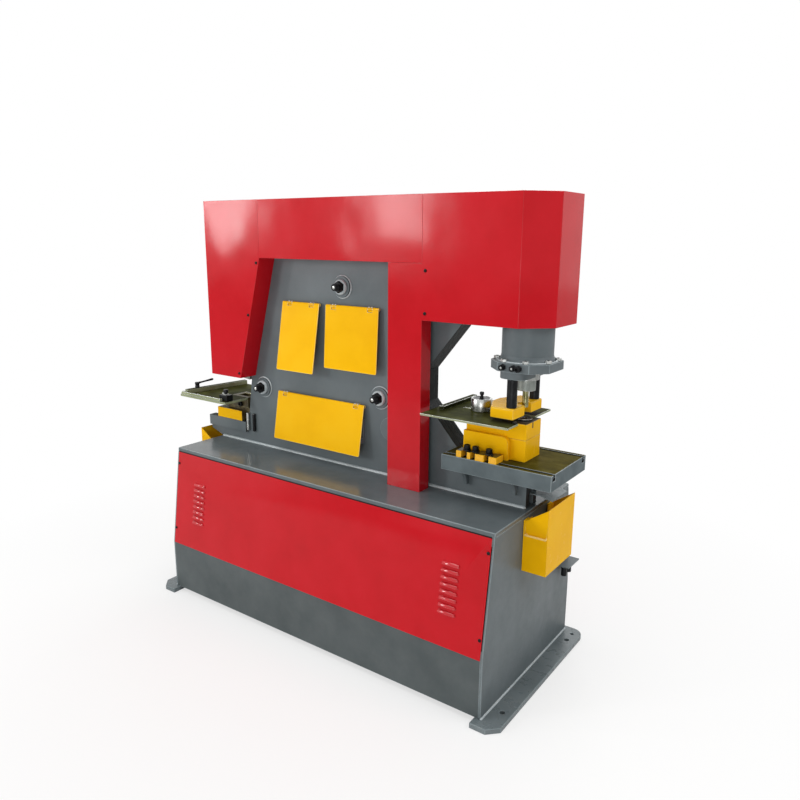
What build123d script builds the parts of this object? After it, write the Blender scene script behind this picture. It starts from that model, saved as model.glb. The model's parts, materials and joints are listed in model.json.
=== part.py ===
# Hydraulic ironworker: punching, notching and three shearing stations on one welded base.
# Millimetres. X runs along the base towards the punching end, Y runs to the back, Z is up.
# The origin lies on the floor, below the middle of the base.
import math
import os

from build123d import *

# Base cabinet
base_length = 1800.0
base_depth = 802.0
base_height = 730.0
base_sheet = 8.0
base_top_thickness = 16.0
kink_height = 244.0
top_setback = 64.0
sill_flange = 36.0

# Foot plates and floor anchors
foot_thickness = 22.0
foot_width = 112.0
foot_overhang = 85.0
foot_front_reach = 39.0
foot_rear_reach = 24.0
foot_front_corner = 44.0
foot_rear_round = 50.0
anchor_hole = 22.0
anchor_beyond_end = 46.0
anchor_spacing_y = 624.0
levelling_hole = 16.0
levelling_y = 373.0

# Access panels with pressed louvres
panel_sheet = 2.5
panel_end_margin = 10.0
louvre_count = 8
louvre_width = 68.0
louvre_pitch = 27.4
louvre_slot = 9.0
louvre_rise = 7.0
louvre_from_left_end = 172.0
louvre_from_right_end = 160.0
louvre_from_top = 140.0
panel_screw_head = 14.0
panel_screw_height = 4.0
panel_screw_inset = 9.0
panel_screw_from_top = 62.0
panel_screw_from_bottom = 78.0

# Welded frame: two plates with the shear arm between them, heights above the base top
plate_thickness = 30.0
frame_gap = 36.0
frame_rise = 1128.0
frame_top_left = -440.0
left_jaw_reach = -984.0
left_jaw_rise = 106.0
left_jaw_tip_rise = 30.0
waist_low_x = -694.0
waist_high_x = -657.0
waist_high_rise = 351.0
shelf_rise = 728.0
shelf_depth = 60.0
shelf_reach = -655.0
shelf_root_x = -548.0
throat_x = 400.0
throat_low_rise = 367.0
throat_high_rise = 501.0
throat_slope_run = 183.0
nose_rise = 728.0
right_jaw_end = 879.0
weld_gap = 0.2
sheet_gap = 0.5
spacer_height = 98.0
top_spacer_height = 100.0
liner_thickness = 16.0
slug_room = 66.0
jaw_cheek_thickness = 14.0
jaw_cheek_height = 54.0
jaw_cheek_right = -702.0

# Punching station, stacked up from the table
punch_x = 833.0
table_left = 556.0
table_right = 1030.0
table_depth = 334.0
table_rise = 133.0
table_thickness = 63.0
slot_from_edge = 27.0
slot_neck = 14.0
slot_foot = 24.0
slot_neck_depth = 14.0
slot_foot_depth = 11.0
gusset_thickness = 16.0
gusset_reach = 95.0
gusset_drop = 82.0
gusset_edge = 8.0
gusset_left_x = 605.0
gusset_right_x = 826.0
bolster_left = 615.0
bolster_right = 878.0
bolster_front = -75.0
bolster_back = 58.0
bolster_height = 151.0
bolster_seam_rise = 87.0
bolster_edge = 3.0
apron_thickness = 22.0
apron_height = 94.0
apron_right = 814.0
apron_corner = 28.0
die_radius = 32.0
die_height = 36.0
die_stand = 7.0
slug_radius = 22.0
punch_radius = 12.0
die_clearance = 0.5
gauge_thickness = 8.0
gauge_left = 467.0
gauge_right = 858.0
gauge_depth = 385.0
gauge_notch_reach = 46.0
gauge_notch_front_root = -70.0
gauge_notch_front_mouth = -105.0
gauge_notch_back = 46.0
gauge_slot_start = 560.0
gauge_slot_end = 722.0
gauge_slot_width = 14.0
gauge_bar_width = 22.0
gauge_bar_height = 15.0
gauge_bar_inset = 24.0
gauge_bar_rear_inset = 4.0
gauge_bar_length = 275.0
stop_x = 640.0
stop_radius = 43.0
stop_height = 52.0
stop_stem_radius = 6.0
knob_radius = 9.0
knob_height = 26.0
clamp_front = -165.0
clamp_back = -108.0
clamp_height = 27.0
clamp_left_edges = (623.0, 672.0, 708.0, 768.0)
clamp_widths = (23.0, 15.0, 39.0, 34.0)
bolt_radius = 6.0
bolt_head_radius = 13.0
bolt_head_height = 18.0
washer_radius = 17.0
washer_thickness = 5.0
stripper_gap = 16.0
yoke_left = 749.0
yoke_right = 846.0
yoke_width = 256.0
yoke_thickness = 42.0
yoke_wing_reach = 46.0
yoke_wing_half = 28.0
yoke_slot_radius = 28.0
yoke_edge = 4.0
post_x = 824.0
post_spacing = 200.0
post_radius = 20.0
punch_opening = 44.0
punch_entry = 6.0
nut_clearance = 4.0
nut_radius = 38.0
nut_height = 44.0
nut_floor = 12.0
punch_head_height = 10.0
punch_head_radius = 29.7
socket_radius = 30.0
ram_radius = 50.0
ram_clearance = 0.3
carrier_clearance = 13.0
carrier_half_length = 56.0
carrier_width = 244.0
carrier_thickness = 28.0
carrier_corner = 36.0
flange_size = 245.0
flange_corner = 57.0
flange_thickness = 35.0
flange_bolt_circle = 116.0
flange_bolt_count = 8
flange_bolt_radius = 6.0
flange_nut_radius = 11.0
flange_nut_height = 12.0
port_plug_radius = 13.0
port_plug_length = 22.0
port_plug_pitch = 44.0
port_plug_shift = -18.0
barrel_radius = 100.0
barrel_length = 462.0
barrel_cap = 40.0
bore_radius = 70.0
piston_height = 65.0
piston_top_room = 6.0
chute_left = 925.0
chute_length = 52.0
chute_front = -16.0
chute_back = 130.0
chute_sheet = 4.0
chute_fall = 12.0
chute_drop = 78.0

# Shear arm on its pivot pin
pivot_x = 220.0
pivot_rise = 218.0
pivot_radius = 38.0
pivot_clearance = 0.3
pivot_cap_radius = 52.0
pivot_cap_thickness = 12.0
arm_swing_degrees = 6.0
arm_side_clearance = 1.0
arm_boss_radius = 95.0
arm_end_x = -780.0
arm_end_rise = 478.0
arm_left_top_rise = 688.0
arm_top_rise = 908.0
arm_bottom_rise = 248.0
arm_heel_x = -640.0
blade_gap = 0.5

# Shearing stations: round and square bar, angle, flat bar
bar_x = -310.0
bar_rise = 551.0
bar_blade_width = 148.0
bar_blade_height = 116.0
bar_square = 40.0
bar_round_radius = 22.0
bar_hole_offset = 29.0
bar_window_width = 210.0
bar_window_height = 200.0
bar_window_shift_x = 15.0
bar_window_shift_z = 27.0
angle_corner_x = -45.0
angle_corner_rise = 548.0
angle_opening_width = 122.0
angle_opening_height = 76.0
angle_wall = 40.0
angle_floor = 35.0
angle_stock = 14.0
angle_window_left = 68.0
angle_window_right = 187.0
angle_window_below = 62.0
angle_window_above = 162.0
flat_left = -420.0
flat_right = 50.0
flat_rise = 153.0
flat_blade_height = 54.0
flat_opening = 62.0
flat_overlap = 10.0
arm_flat_rise = 288.0
flat_relief = 22.0

# Stock guides on the front plate and the hinged guards that rest on them
guide_wall = 24.0
guide_ring_depth = 16.0
bar_guide_depth = 53.0
angle_guide_depth = 29.0
flat_guide_depth = 42.0
flap_sheet = 4.0
hinge_standoff = 14.0
hinge_pin_radius = 4.0
hinge_clearance = 0.25
knuckle_radius = 7.0
lug_width = 26.0
lug_inset = 34.0
flap_rest_gap = 0.4
bar_flap_left = -405.0
bar_flap_width = 230.0
bar_flap_height = 318.0
angle_flap_left = -136.0
angle_flap_width = 300.0
angle_flap_height = 282.0
flat_flap_left = -452.0
flat_flap_width = 534.0
flat_flap_height = 228.0
upper_hinge_rise = 738.0
lower_hinge_rise = 299.0

# Side adjusters that keep the arm true between the plates, as (x, height above the base top)
adjusters = ((-52.0, 825.0), (-569.0, 306.0), (160.0, 350.0))
adjuster_disc_radius = 48.0
adjuster_disc_thickness = 10.0
adjuster_nut_radius = 27.0
adjuster_nut_height = 26.0
adjuster_stud_radius = 15.0
adjuster_stud_length = 62.0

# Shear cylinder under the left cover
shear_x = -700.0
bracket_thickness = 50.0
bracket_left = -795.0
bracket_right = -556.0
bracket_width = 190.0
shear_flange_radius = 92.0
shear_flange_thickness = 28.0
shear_barrel_radius = 80.0
shear_barrel_length = 300.0
shear_bore_radius = 55.0
shear_cap = 30.0
shear_rod_radius = 35.0
shear_piston_height = 45.0
rod_end_radius = 40.0
rod_rest_gap = 0.6
pad_thickness = 12.0
pad_left = -760.0
pad_right = -610.0

# Notching station
notch_x = -746.0
notch_length = 80.0
notch_width = 50.0
notch_clearance = 1.0
notch_entry = 7.0
notch_punch_height = 100.0
notch_block_height = 90.0
notch_block_width = 76.0
notch_holder_left = -915.0
notch_holder_step = -862.0
notch_holder_right = -697.0
notch_holder_width = 124.0
notch_holder_low = 53.0
notch_holder_high = 115.0
notch_holder_setback = 30.0
notch_relief_left = -730.0
notch_relief_y = -34.0
notch_die_length = 128.0
notch_die_width = 92.0
notch_die_height = 55.0
notch_table_left = -1045.0
notch_table_depth = 390.0
notch_table_thickness = 12.0
fence_width = 26.0
fence_height = 22.0
fence_length = 370.0
fence_end_gap = 3.0
fence_angle_degrees = 8.0
fence_inset = 34.0
front_fence_length = 300.0
front_fence_start = 40.0
front_fence_width = 16.0
front_fence_height = 14.0
slider_length = 56.0
slider_width = 40.0
slider_height = 30.0
slider_gap = 0.4
slider_from_edge = 6.0
slider_pin_radius = 8.0
slider_pin_height = 26.0
lever_from_front = 84.0
lever_turn_degrees = 21.0
lever_hub_radius = 12.0
lever_hub_height = 30.0
lever_screw_radius = 5.0
lever_length = 88.0
lever_grip_radius = 6.0
lever_tip_rise = 14.0
rod_guide_x = -690.0
rod_guide_pitch = 44.0
rod_guide_rise = 64.0
rod_guide_length = 92.0
rod_guide_radius = 8.0

# Sheet covers, heights above the base top
cover_sheet = 3.0
cover_half_depth = 149.0
cover_top_rise = 1204.0
cover_left = -840.0
left_cover_right = -468.0
left_cover_low_right = -628.0
left_cover_bottom_rise = 358.0
band_bottom_rise = 943.0
band_right = 438.0
column_left = 273.0
column_right = 440.0
column_return = 69.0
hood_bottom_rise = 720.0
hood_chamfer_x = 860.0
hood_end = 964.0
hood_end_front = 46.0
cover_screw_radius = 7.0
cover_screw_height = 5.0
cover_screw_inset = 14.0
cover_screw_end_inset = 28.0
slant_screw_rises = (382.0, 674.0, 920.0)

# Scrap bins on the base ends
bin_reach = 103.0
bin_standoff = 11.0
bin_front = -107.0
bin_back = 148.0
bin_bottom = 517.0
bin_outer_top = 790.0
bin_inner_top = 729.0
bin_sheet = 3.0
bin_notch_half = 74.0
bin_notch_bottom = 640.0
bin_ear_gap = 1.0
hook_depth = 34.0
hook_sheet = 3.0
hanger_spacer = 6.0
hanger_plate = 4.0
hanger_height = 66.0
hanger_width = 34.0
handle_radius = 4.0
handle_rise = 157.0
handle_standoff = 12.0
handle_inset = 1.0

# Hydraulic power unit and wiring box inside the base
tank_length = 620.0
tank_depth = 480.0
tank_height = 330.0
tank_wall = 5.0
tank_from_end = 172.0
lid_thickness = 10.0
motor_radius = 92.0
motor_length = 300.0
motor_axis_rise = 118.0
motor_from_tank_end = 60.0
motor_foot_length = 150.0
motor_foot_width = 170.0
coupling_length = 70.0
coupling_radius = 45.0
pump_length = 110.0
pump_size = 100.0
valve_length = 160.0
valve_depth = 110.0
valve_height = 120.0
valve_gap = 150.0
box_length = 300.0
box_depth = 180.0
box_height = 420.0
box_from_end = 212.0

# Socket shelf on the right end of the base
shelf_plate_front = 266.0
shelf_plate_back = 384.0
shelf_plate_width = 52.0
shelf_plate_height = 388.0
shelf_plate_thickness = 6.0
socket_body_radius = 13.0
socket_body_height = 40.0
socket_spacing = 48.0

# Levels that follow from the sizes above
base_bottom = foot_thickness
base_top = base_bottom + base_height
end_x = base_length / 2
front_y = -base_depth / 2
back_y = base_depth / 2
frame_half = frame_gap / 2 + plate_thickness
plate_inner = frame_gap / 2
table_bottom = base_top + table_rise
table_top = table_bottom + table_thickness
bolster_top = table_top + bolster_height
gauge_top = bolster_top + gauge_thickness
die_top = bolster_top + die_stand
yoke_bottom = die_top + stripper_gap
yoke_top = yoke_bottom + yoke_thickness
punch_stroke = punch_opening + punch_entry
punch_tip = die_top + punch_opening
nut_bottom = yoke_top + punch_stroke + nut_clearance
nut_top = nut_bottom + nut_height
carrier_bottom = nut_top + carrier_clearance
flange_bottom = carrier_bottom + carrier_thickness
flange_top = flange_bottom + flange_thickness
barrel_top = flange_top + barrel_length
pivot_z = base_top + pivot_rise
left_jaw_top = base_top + left_jaw_rise
notch_table_bottom = left_jaw_top + notch_holder_high
notch_table_top = notch_table_bottom + notch_table_thickness
shelf_top = base_top + shelf_rise
bracket_top = shelf_top + bracket_thickness
cover_top = base_top + cover_top_rise
arm_half = plate_inner - arm_side_clearance
arm_axis = Axis((pivot_x, 0, pivot_z), (0, -1, 0))


def block(x, y, z):
    """A box between two limits on each axis."""
    low = (min(x), min(y), min(z))
    size = (abs(x[1] - x[0]), abs(y[1] - y[0]), abs(z[1] - z[0]))
    return Pos(*low) * Box(*size, align=(Align.MIN, Align.MIN, Align.MIN))


def plate_xz(points, y):
    """An outline in X and Z carried from one Y to another."""
    outline = Polyline([(px, y[0], pz) for px, pz in points], close=True)
    return extrude(make_face(outline), amount=y[1] - y[0], dir=(0, 1, 0))


def plate_xy(points, z):
    """An outline in X and Y carried from one Z to another."""
    outline = Polyline([(px, py, z[0]) for px, py in points], close=True)
    return extrude(make_face(outline), amount=z[1] - z[0], dir=(0, 0, 1))


def plate_yz(points, x):
    """An outline in Y and Z carried from one X to another."""
    outline = Polyline([(x[0], py, pz) for py, pz in points], close=True)
    return extrude(make_face(outline), amount=x[1] - x[0], dir=(1, 0, 0))


def rod_z(x, y, z, radius):
    """A round bar along Z."""
    bar = Cylinder(radius, z[1] - z[0], align=(Align.CENTER, Align.CENTER, Align.MIN))
    return Pos(x, y, z[0]) * bar


def rod_y(x, y, z, radius):
    """A round bar along Y."""
    bar = Cylinder(radius, y[1] - y[0], align=(Align.CENTER, Align.CENTER, Align.MIN))
    return Pos(x, y[0], z) * Rot(X=-90) * bar


def rod_x(x, y, z, radius):
    """A round bar along X."""
    bar = Cylinder(radius, x[1] - x[0], align=(Align.CENTER, Align.CENTER, Align.MIN))
    return Pos(x[0], y, z) * Rot(Y=90) * bar


def hexagon_y(x, y, z, radius):
    """A hexagonal nut with its axis along Y."""
    corners = [math.radians(60 * k) for k in range(6)]
    points = [(x + radius * math.cos(a), z + radius * math.sin(a)) for a in corners]
    return plate_xz(points, y)


def hexagon_z(x, y, z, radius):
    """A hexagonal nut with its axis along Z."""
    corners = [math.radians(60 * k) for k in range(6)]
    points = [(x + radius * math.cos(a), y + radius * math.sin(a)) for a in corners]
    return plate_xy(points, z)


def above_base(points):
    """Outline points whose second number is a height above the base top."""
    return [(px, base_top + rise) for px, rise in points]


def at_rest(shape):
    """A piece of the arm that is drawn at the end of its stroke, swung back to rest."""
    return shape.rotate(arm_axis, -arm_swing_degrees)


def mirrored(shape):
    """The same piece on the other end of the base."""
    return mirror(shape, about=Plane.YZ)


def save(name, *shapes):
    """Write one node, as one solid or as a group of separate solids."""
    solids = [solid for shape in shapes for solid in shape.solids()]
    node = solids[0] if len(solids) == 1 else Compound(children=solids)
    export_step(node, f"parts/{name}.step")


os.makedirs("parts", exist_ok=True)

# Base cabinet: welded from plates, with a front and a back that lean inwards above a kink
top_front_y = front_y + top_setback
kink_z = base_bottom + kink_height
lean = math.degrees(math.atan2(top_setback, base_top - kink_z))
slope_length = math.hypot(top_setback, base_top - kink_z)
end_inner = end_x - base_sheet
end_outline = [
    (front_y, base_bottom),
    (front_y, kink_z),
    (top_front_y, base_top),
    (-top_front_y, base_top),
    (back_y, kink_z),
    (back_y, base_bottom),
]
top_plate_bottom = base_top - base_top_thickness
end_plate = plate_yz(end_outline, (end_inner, end_x))
end_plate -= block((end_inner, end_x), (front_y, back_y), (top_plate_bottom, base_top))
save("base_end_right", end_plate)
save("base_end_left", mirrored(end_plate))


def on_slope(points, x):
    """An outline of (distance up the slope, depth behind the slope) carried along X."""
    tilt = math.radians(lean)
    placed = []
    for up, behind in points:
        py = front_y + up * math.sin(tilt) + behind * math.cos(tilt)
        pz = kink_z + up * math.cos(tilt) - behind * math.sin(tilt)
        placed.append((py, pz))
    return plate_yz(placed, x)


inside_x = (-end_inner, end_inner)
half_turn = Rot(Z=180)
floor_top = base_bottom + base_sheet
tray = block(inside_x, (front_y, back_y), (base_bottom, floor_top))
sill = block(inside_x, (front_y, front_y + base_sheet), (base_bottom, kink_z))
sill += on_slope([(0, 0), (sill_flange, 0), (sill_flange, base_sheet), (0, base_sheet)], inside_x)
tray += sill
tray += half_turn * sill
save("base_tray", tray)

rail_top = slope_length * (top_plate_bottom - kink_z) / (base_top - kink_z)
rail_low = rail_top - sill_flange
rail_outline = [(rail_low, 0), (slope_length, 0), (slope_length, base_sheet), (rail_low, base_sheet)]
top_band = block((-end_x, end_x), (front_y, back_y), (top_plate_bottom, base_top))
folded_top = top_band & plate_yz(end_outline, (-end_x, end_x))
rail = on_slope(rail_outline, inside_x) & plate_yz(end_outline, inside_x)
folded_top += rail
folded_top += half_turn * rail
save("base_top", folded_top)

# Foot plates below the ends: an anchor hole at each corner, a levelling hole at each rear end
foot_outer = end_x + foot_overhang
foot_inner = foot_outer - foot_width
foot_front = front_y - foot_front_reach
foot_outline = [
    (foot_inner, foot_front),
    (foot_outer - foot_front_corner, foot_front),
    (foot_outer, foot_front + foot_front_corner),
    (foot_outer, back_y + foot_rear_reach),
    (foot_inner, back_y + foot_rear_reach),
]
anchor_x = end_x + anchor_beyond_end
foot = plate_xy(foot_outline, (0, foot_thickness))
rear_edge = foot.edges().filter_by(Axis.Z).sort_by(lambda e: e.center().X + e.center().Y)[-1]
foot = fillet(rear_edge, foot_rear_round)
for anchor_y in (-anchor_spacing_y / 2, anchor_spacing_y / 2):
    foot -= rod_z(anchor_x, anchor_y, (0, foot_thickness), anchor_hole / 2)
foot -= rod_z(anchor_x, levelling_y, (0, foot_thickness), levelling_hole / 2)
save("foot_plates", foot, mirrored(foot))


# Access panels: drawn flat with the outer face at Y 0, then set against the base
def louvred_panel(length, height):
    """A sheet panel with a column of pressed louvres near each end."""
    half = length / 2
    panel = block((-half, half), (-panel_sheet, 0), (0, height))
    for centre in (louvre_from_left_end - half, half - louvre_from_right_end):
        x = (centre - louvre_width / 2, centre + louvre_width / 2)
        inner = (x[0] + panel_sheet, x[1] - panel_sheet)
        for k in range(louvre_count):
            top = height - louvre_from_top - k * louvre_pitch
            low = top - louvre_slot
            outside = [(-panel_sheet, top), (-panel_sheet - louvre_rise, low), (-panel_sheet, low)]
            inside = [(0, top - panel_sheet), (-louvre_rise, low), (0, low)]
            panel += plate_yz(outside, x)
            panel -= plate_yz(inside, inner)
            panel -= block(inner, (-panel_sheet - louvre_rise, 0), (low - panel_sheet, low))
    return panel


def panel_screws(length, height):
    """Domed screw heads, two along each upright edge of a panel."""
    half = length / 2 - panel_screw_inset
    heads = []
    for x in (-half, half):
        for z in (panel_screw_from_bottom, height - panel_screw_from_top):
            face = -panel_sheet
            heads.append(rod_y(x, (face - panel_screw_height, face), z, panel_screw_head / 2))
    return heads


panel_length = base_length - 2 * panel_end_margin
panel_place = Pos(0, front_y, kink_z) * Rot(X=-lean)
front_panel = panel_place * louvred_panel(panel_length, rail_top)
save("front_panel", front_panel)
save("rear_panel", half_turn * front_panel)
front_screws = [panel_place * head for head in panel_screws(panel_length, rail_top)]
sheet_screws = front_screws + [half_turn * head for head in front_screws]

# Frame plates: one outline for both, with the throat, the jaws and the stock openings
throat_top_x = throat_x + throat_slope_run
barrel_edge = punch_x - barrel_radius
frame_outline = above_base(
    [
        (-end_x, 0),
        (left_jaw_reach, left_jaw_tip_rise),
        (left_jaw_reach, left_jaw_rise),
        (waist_low_x, left_jaw_rise),
        (waist_high_x, waist_high_rise),
        (shelf_root_x, shelf_rise - shelf_depth),
        (shelf_reach, shelf_rise - shelf_depth / 2),
        (shelf_reach, shelf_rise),
        (shelf_root_x, shelf_rise),
        (frame_top_left, frame_rise),
        (punch_x, frame_rise),
        (punch_x, nose_rise),
        (throat_top_x, nose_rise),
        (throat_x, throat_high_rise),
        (throat_x, throat_low_rise),
        (table_left - weld_gap, table_rise + table_thickness),
        (table_left - weld_gap, table_rise),
        (right_jaw_end, table_rise),
        (right_jaw_end, 0),
    ]
)
bar_z = base_top + bar_rise
angle_z = base_top + angle_corner_rise
flat_z = base_top + flat_rise
bar_opening_half = bar_hole_offset + bar_round_radius + blade_gap
bar_opening = (
    (bar_x - bar_opening_half, bar_x + bar_opening_half),
    (bar_z - bar_round_radius - blade_gap, bar_z + bar_round_radius + blade_gap),
)
angle_opening = (
    (angle_corner_x, angle_corner_x + angle_opening_width),
    (angle_z, angle_z + angle_opening_height),
)
flat_opening_box = ((flat_left, flat_right), (flat_z, flat_z + flat_opening))
stock_openings = (bar_opening, angle_opening, flat_opening_box)


def frame_plate(y):
    """One of the two side plates, open for stock, arm pin, barrel and adjusters."""
    plate = plate_xz(frame_outline, y)
    for x, z in stock_openings:
        plate -= block(x, y, z)
    plate -= rod_y(pivot_x, y, pivot_z, pivot_radius)
    plate -= rod_z(punch_x, 0, (base_top + nose_rise, cover_top), barrel_radius + weld_gap)
    for x, rise in adjusters:
        plate -= rod_y(x, y, base_top + rise, adjuster_stud_radius)
    return plate


front_plate_y = (-frame_half, -plate_inner)
rear_plate_y = (plate_inner, frame_half)
save("frame_plate_front", frame_plate(front_plate_y))
save("frame_plate_rear", frame_plate(rear_plate_y))

# Spacers welded between the plates, clear of the arm and of the falling slugs
gap_y = (-plate_inner, plate_inner)
slug_clear = punch_x - slug_room
frame_top = base_top + frame_rise
bottom_spacer = block((waist_high_x, slug_clear), gap_y, (base_top, base_top + spacer_height))
top_spacer = block((frame_top_left, throat_top_x), gap_y, (frame_top - top_spacer_height, frame_top))
nose_x = (throat_top_x + weld_gap, barrel_edge - weld_gap)
nose_spacer = block(nose_x, gap_y, (base_top + nose_rise, frame_top))
frame_webs = [bottom_spacer, top_spacer, nose_spacer]
throat_line = above_base(
    [
        (throat_top_x, nose_rise),
        (throat_x, throat_high_rise),
        (throat_x, throat_low_rise),
        (table_left - weld_gap, table_rise + table_thickness),
    ]
)
for (upper_x, upper_z), (lower_x, lower_z) in zip(throat_line, throat_line[1:]):
    strip = [
        (upper_x, upper_z - weld_gap),
        (lower_x, lower_z),
        (lower_x - liner_thickness, lower_z),
        (upper_x - liner_thickness, upper_z - weld_gap),
    ]
    frame_webs.append(plate_xz(strip, gap_y))
cheek_x = (left_jaw_reach, jaw_cheek_right)
cheek_z = (left_jaw_top - jaw_cheek_height, left_jaw_top)
for side in (-1, 1):
    cheek_y = (side * frame_half, side * (frame_half + jaw_cheek_thickness))
    frame_webs.append(block(cheek_x, cheek_y, cheek_z))

# Punch table with two T-slots, carried by the right jaw and four curved gussets
table_half = table_depth / 2
punch_table = block((table_left, table_right), (-table_half, table_half), (table_bottom, table_top))
slot_y = table_half - slot_from_edge
neck_z = (table_top - slot_neck_depth, table_top)
foot_z = (neck_z[0] - slot_foot_depth, neck_z[0])
for y in (-slot_y, slot_y):
    punch_table -= block((table_left, table_right), (y - slot_neck / 2, y + slot_neck / 2), neck_z)
    punch_table -= block((table_left, table_right), (y - slot_foot / 2, y + slot_foot / 2), foot_z)
punch_table -= rod_z(punch_x, 0, (table_bottom, table_top), slug_radius)
save("punch_table", punch_table)


def table_gusset(x, side):
    """A gusset under the table edge with a hollow quarter-round edge."""
    foot_y = side * frame_half
    tip_y = side * (frame_half + gusset_reach)
    low_z = table_bottom - gusset_drop
    width = (x, x + gusset_thickness)
    gusset = block(width, (foot_y, tip_y), (low_z, table_bottom))
    return gusset - rod_x(width, tip_y, low_z, gusset_drop - gusset_edge)


for side in (-1, 1):
    frame_webs.append(table_gusset(gusset_left_x, side))
    frame_webs.append(table_gusset(gusset_right_x, side))

chute_z = table_bottom - chute_drop
chute = plate_xz(
    [
        (right_jaw_end, chute_z),
        (chute_left, chute_z),
        (chute_left + chute_length, chute_z - chute_fall),
        (chute_left + chute_length, chute_z - chute_fall - chute_sheet),
        (chute_left, chute_z - chute_sheet),
        (right_jaw_end, chute_z - chute_sheet),
    ],
    (chute_front, chute_back),
)
save("slug_chute", chute)

# Die bolster of two stacked blocks, its die, the rounded apron in front of it, and its clamps
bolster_x = (bolster_left, bolster_right)
bolster_y = (bolster_front, bolster_back)
bolster_seam = table_top + bolster_seam_rise
die_seat = die_top - die_height
lower_block = block(bolster_x, bolster_y, (table_top, bolster_seam))
lower_block = fillet(lower_block.edges().filter_by(Axis.Z), bolster_edge)
lower_block -= rod_z(punch_x, 0, (table_top, bolster_seam), slug_radius)
upper_block = block(bolster_x, bolster_y, (bolster_seam, bolster_top))
upper_block = fillet(upper_block.edges().filter_by(Axis.Z), bolster_edge)
upper_block -= rod_z(punch_x, 0, (bolster_seam, die_seat), slug_radius)
upper_block -= rod_z(punch_x, 0, (die_seat, bolster_top), die_radius)
apron = block(
    (bolster_left, apron_right),
    (bolster_front - apron_thickness, bolster_front),
    (table_top, table_top + apron_height),
)
apron_edge = apron.edges().filter_by(Axis.Y).sort_by(lambda e: e.center().X + e.center().Z)[-1]
save("die_bolster", lower_block, upper_block, fillet(apron_edge, apron_corner))

die = rod_z(punch_x, 0, (die_seat, die_top), die_radius)
die -= rod_z(punch_x, 0, (die_seat, die_top), punch_radius + die_clearance)
save("punch_die", die)

clamp_y = (clamp_front, clamp_back)
clamp_z = (table_top, table_top + clamp_height)
clamps = [block((x, x + w), clamp_y, clamp_z) for x, w in zip(clamp_left_edges, clamp_widths)]
save("bolster_clamps", *clamps)

clamp_bolts = []
for k in range(len(clamp_left_edges) - 1):
    gap_start = clamp_left_edges[k] + clamp_widths[k]
    x = (gap_start + clamp_left_edges[k + 1]) / 2
    seat = clamp_z[1]
    bolt = rod_z(x, -slot_y, (foot_z[0], seat), bolt_radius)
    bolt += rod_z(x, -slot_y, (seat, seat + washer_thickness), washer_radius)
    head_z = (seat + washer_thickness, seat + washer_thickness + bolt_head_height)
    bolt += rod_z(x, -slot_y, head_z, bolt_head_radius)
    clamp_bolts.append(bolt)
save("clamp_bolts", *clamp_bolts)

# Gauge plate on the bolster, with its back bar and the sliding round stop; its notch opens to the front
gauge_half = gauge_depth / 2
gauge = block((gauge_left, gauge_right), (-gauge_half, gauge_half), (bolster_top, gauge_top))
notch_root_x = punch_x - gauge_notch_reach
notch_outline = [
    (notch_root_x, gauge_notch_front_root),
    (gauge_right, gauge_notch_front_mouth),
    (gauge_right, gauge_notch_back),
    (notch_root_x, gauge_notch_back),
]
gauge -= plate_xy(notch_outline, (bolster_top, gauge_top))
slot_half = gauge_slot_width / 2
gauge -= block((gauge_slot_start, gauge_slot_end), (-slot_half, slot_half), (bolster_top, gauge_top))
bar_left = gauge_left + gauge_bar_inset
bar_back = gauge_half - gauge_bar_rear_inset
gauge_bar = block(
    (bar_left, bar_left + gauge_bar_width),
    (bar_back - gauge_bar_length, bar_back),
    (gauge_top, gauge_top + gauge_bar_height),
)
save("gauge_plate", gauge, gauge_bar)

stop_bottom = gauge_top + slider_gap
stop = rod_z(stop_x, 0, (stop_bottom, stop_bottom + stop_height), stop_radius)
stop += rod_z(stop_x, 0, (bolster_top + slider_gap, stop_bottom), stop_stem_radius)
knob_bottom = stop_bottom + stop_height
stop_knob = rod_z(stop_x, 0, (knob_bottom, knob_bottom + knob_height), knob_radius)
save("gauge_stop", stop, stop_knob)

# Stripper: a slotted yoke hung on two posts from a carrier under the cylinder flange
yoke_half = yoke_width / 2
yoke_outline = [
    (yoke_left, -yoke_half),
    (yoke_right, -yoke_half),
    (yoke_right, yoke_half),
    (yoke_left, yoke_half),
    (yoke_left - yoke_wing_reach, yoke_wing_half),
    (yoke_left - yoke_wing_reach, -yoke_wing_half),
]
yoke = plate_xy(yoke_outline, (yoke_bottom, yoke_top))
yoke = chamfer(yoke.faces().sort_by(Axis.Z)[-1].edges(), yoke_edge)
yoke -= rod_z(punch_x, 0, (yoke_bottom, yoke_top), yoke_slot_radius)
yoke_slot_y = (-yoke_slot_radius, yoke_slot_radius)
yoke -= block((punch_x, yoke_right), yoke_slot_y, (yoke_bottom, yoke_top))
save("stripper_yoke", yoke)

posts = []
for y in (-post_spacing / 2, post_spacing / 2):
    posts.append(rod_z(post_x, y, (yoke_top, carrier_bottom), post_radius))
carrier = block(
    (post_x - carrier_half_length, post_x + carrier_half_length),
    (-carrier_width / 2, carrier_width / 2),
    (carrier_bottom, flange_bottom),
)
carrier = fillet(carrier.edges().filter_by(Axis.Z), carrier_corner)
carrier -= rod_z(punch_x, 0, (carrier_bottom, flange_bottom), ram_radius + ram_clearance)
save("stripper_carrier", carrier, *posts)

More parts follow.
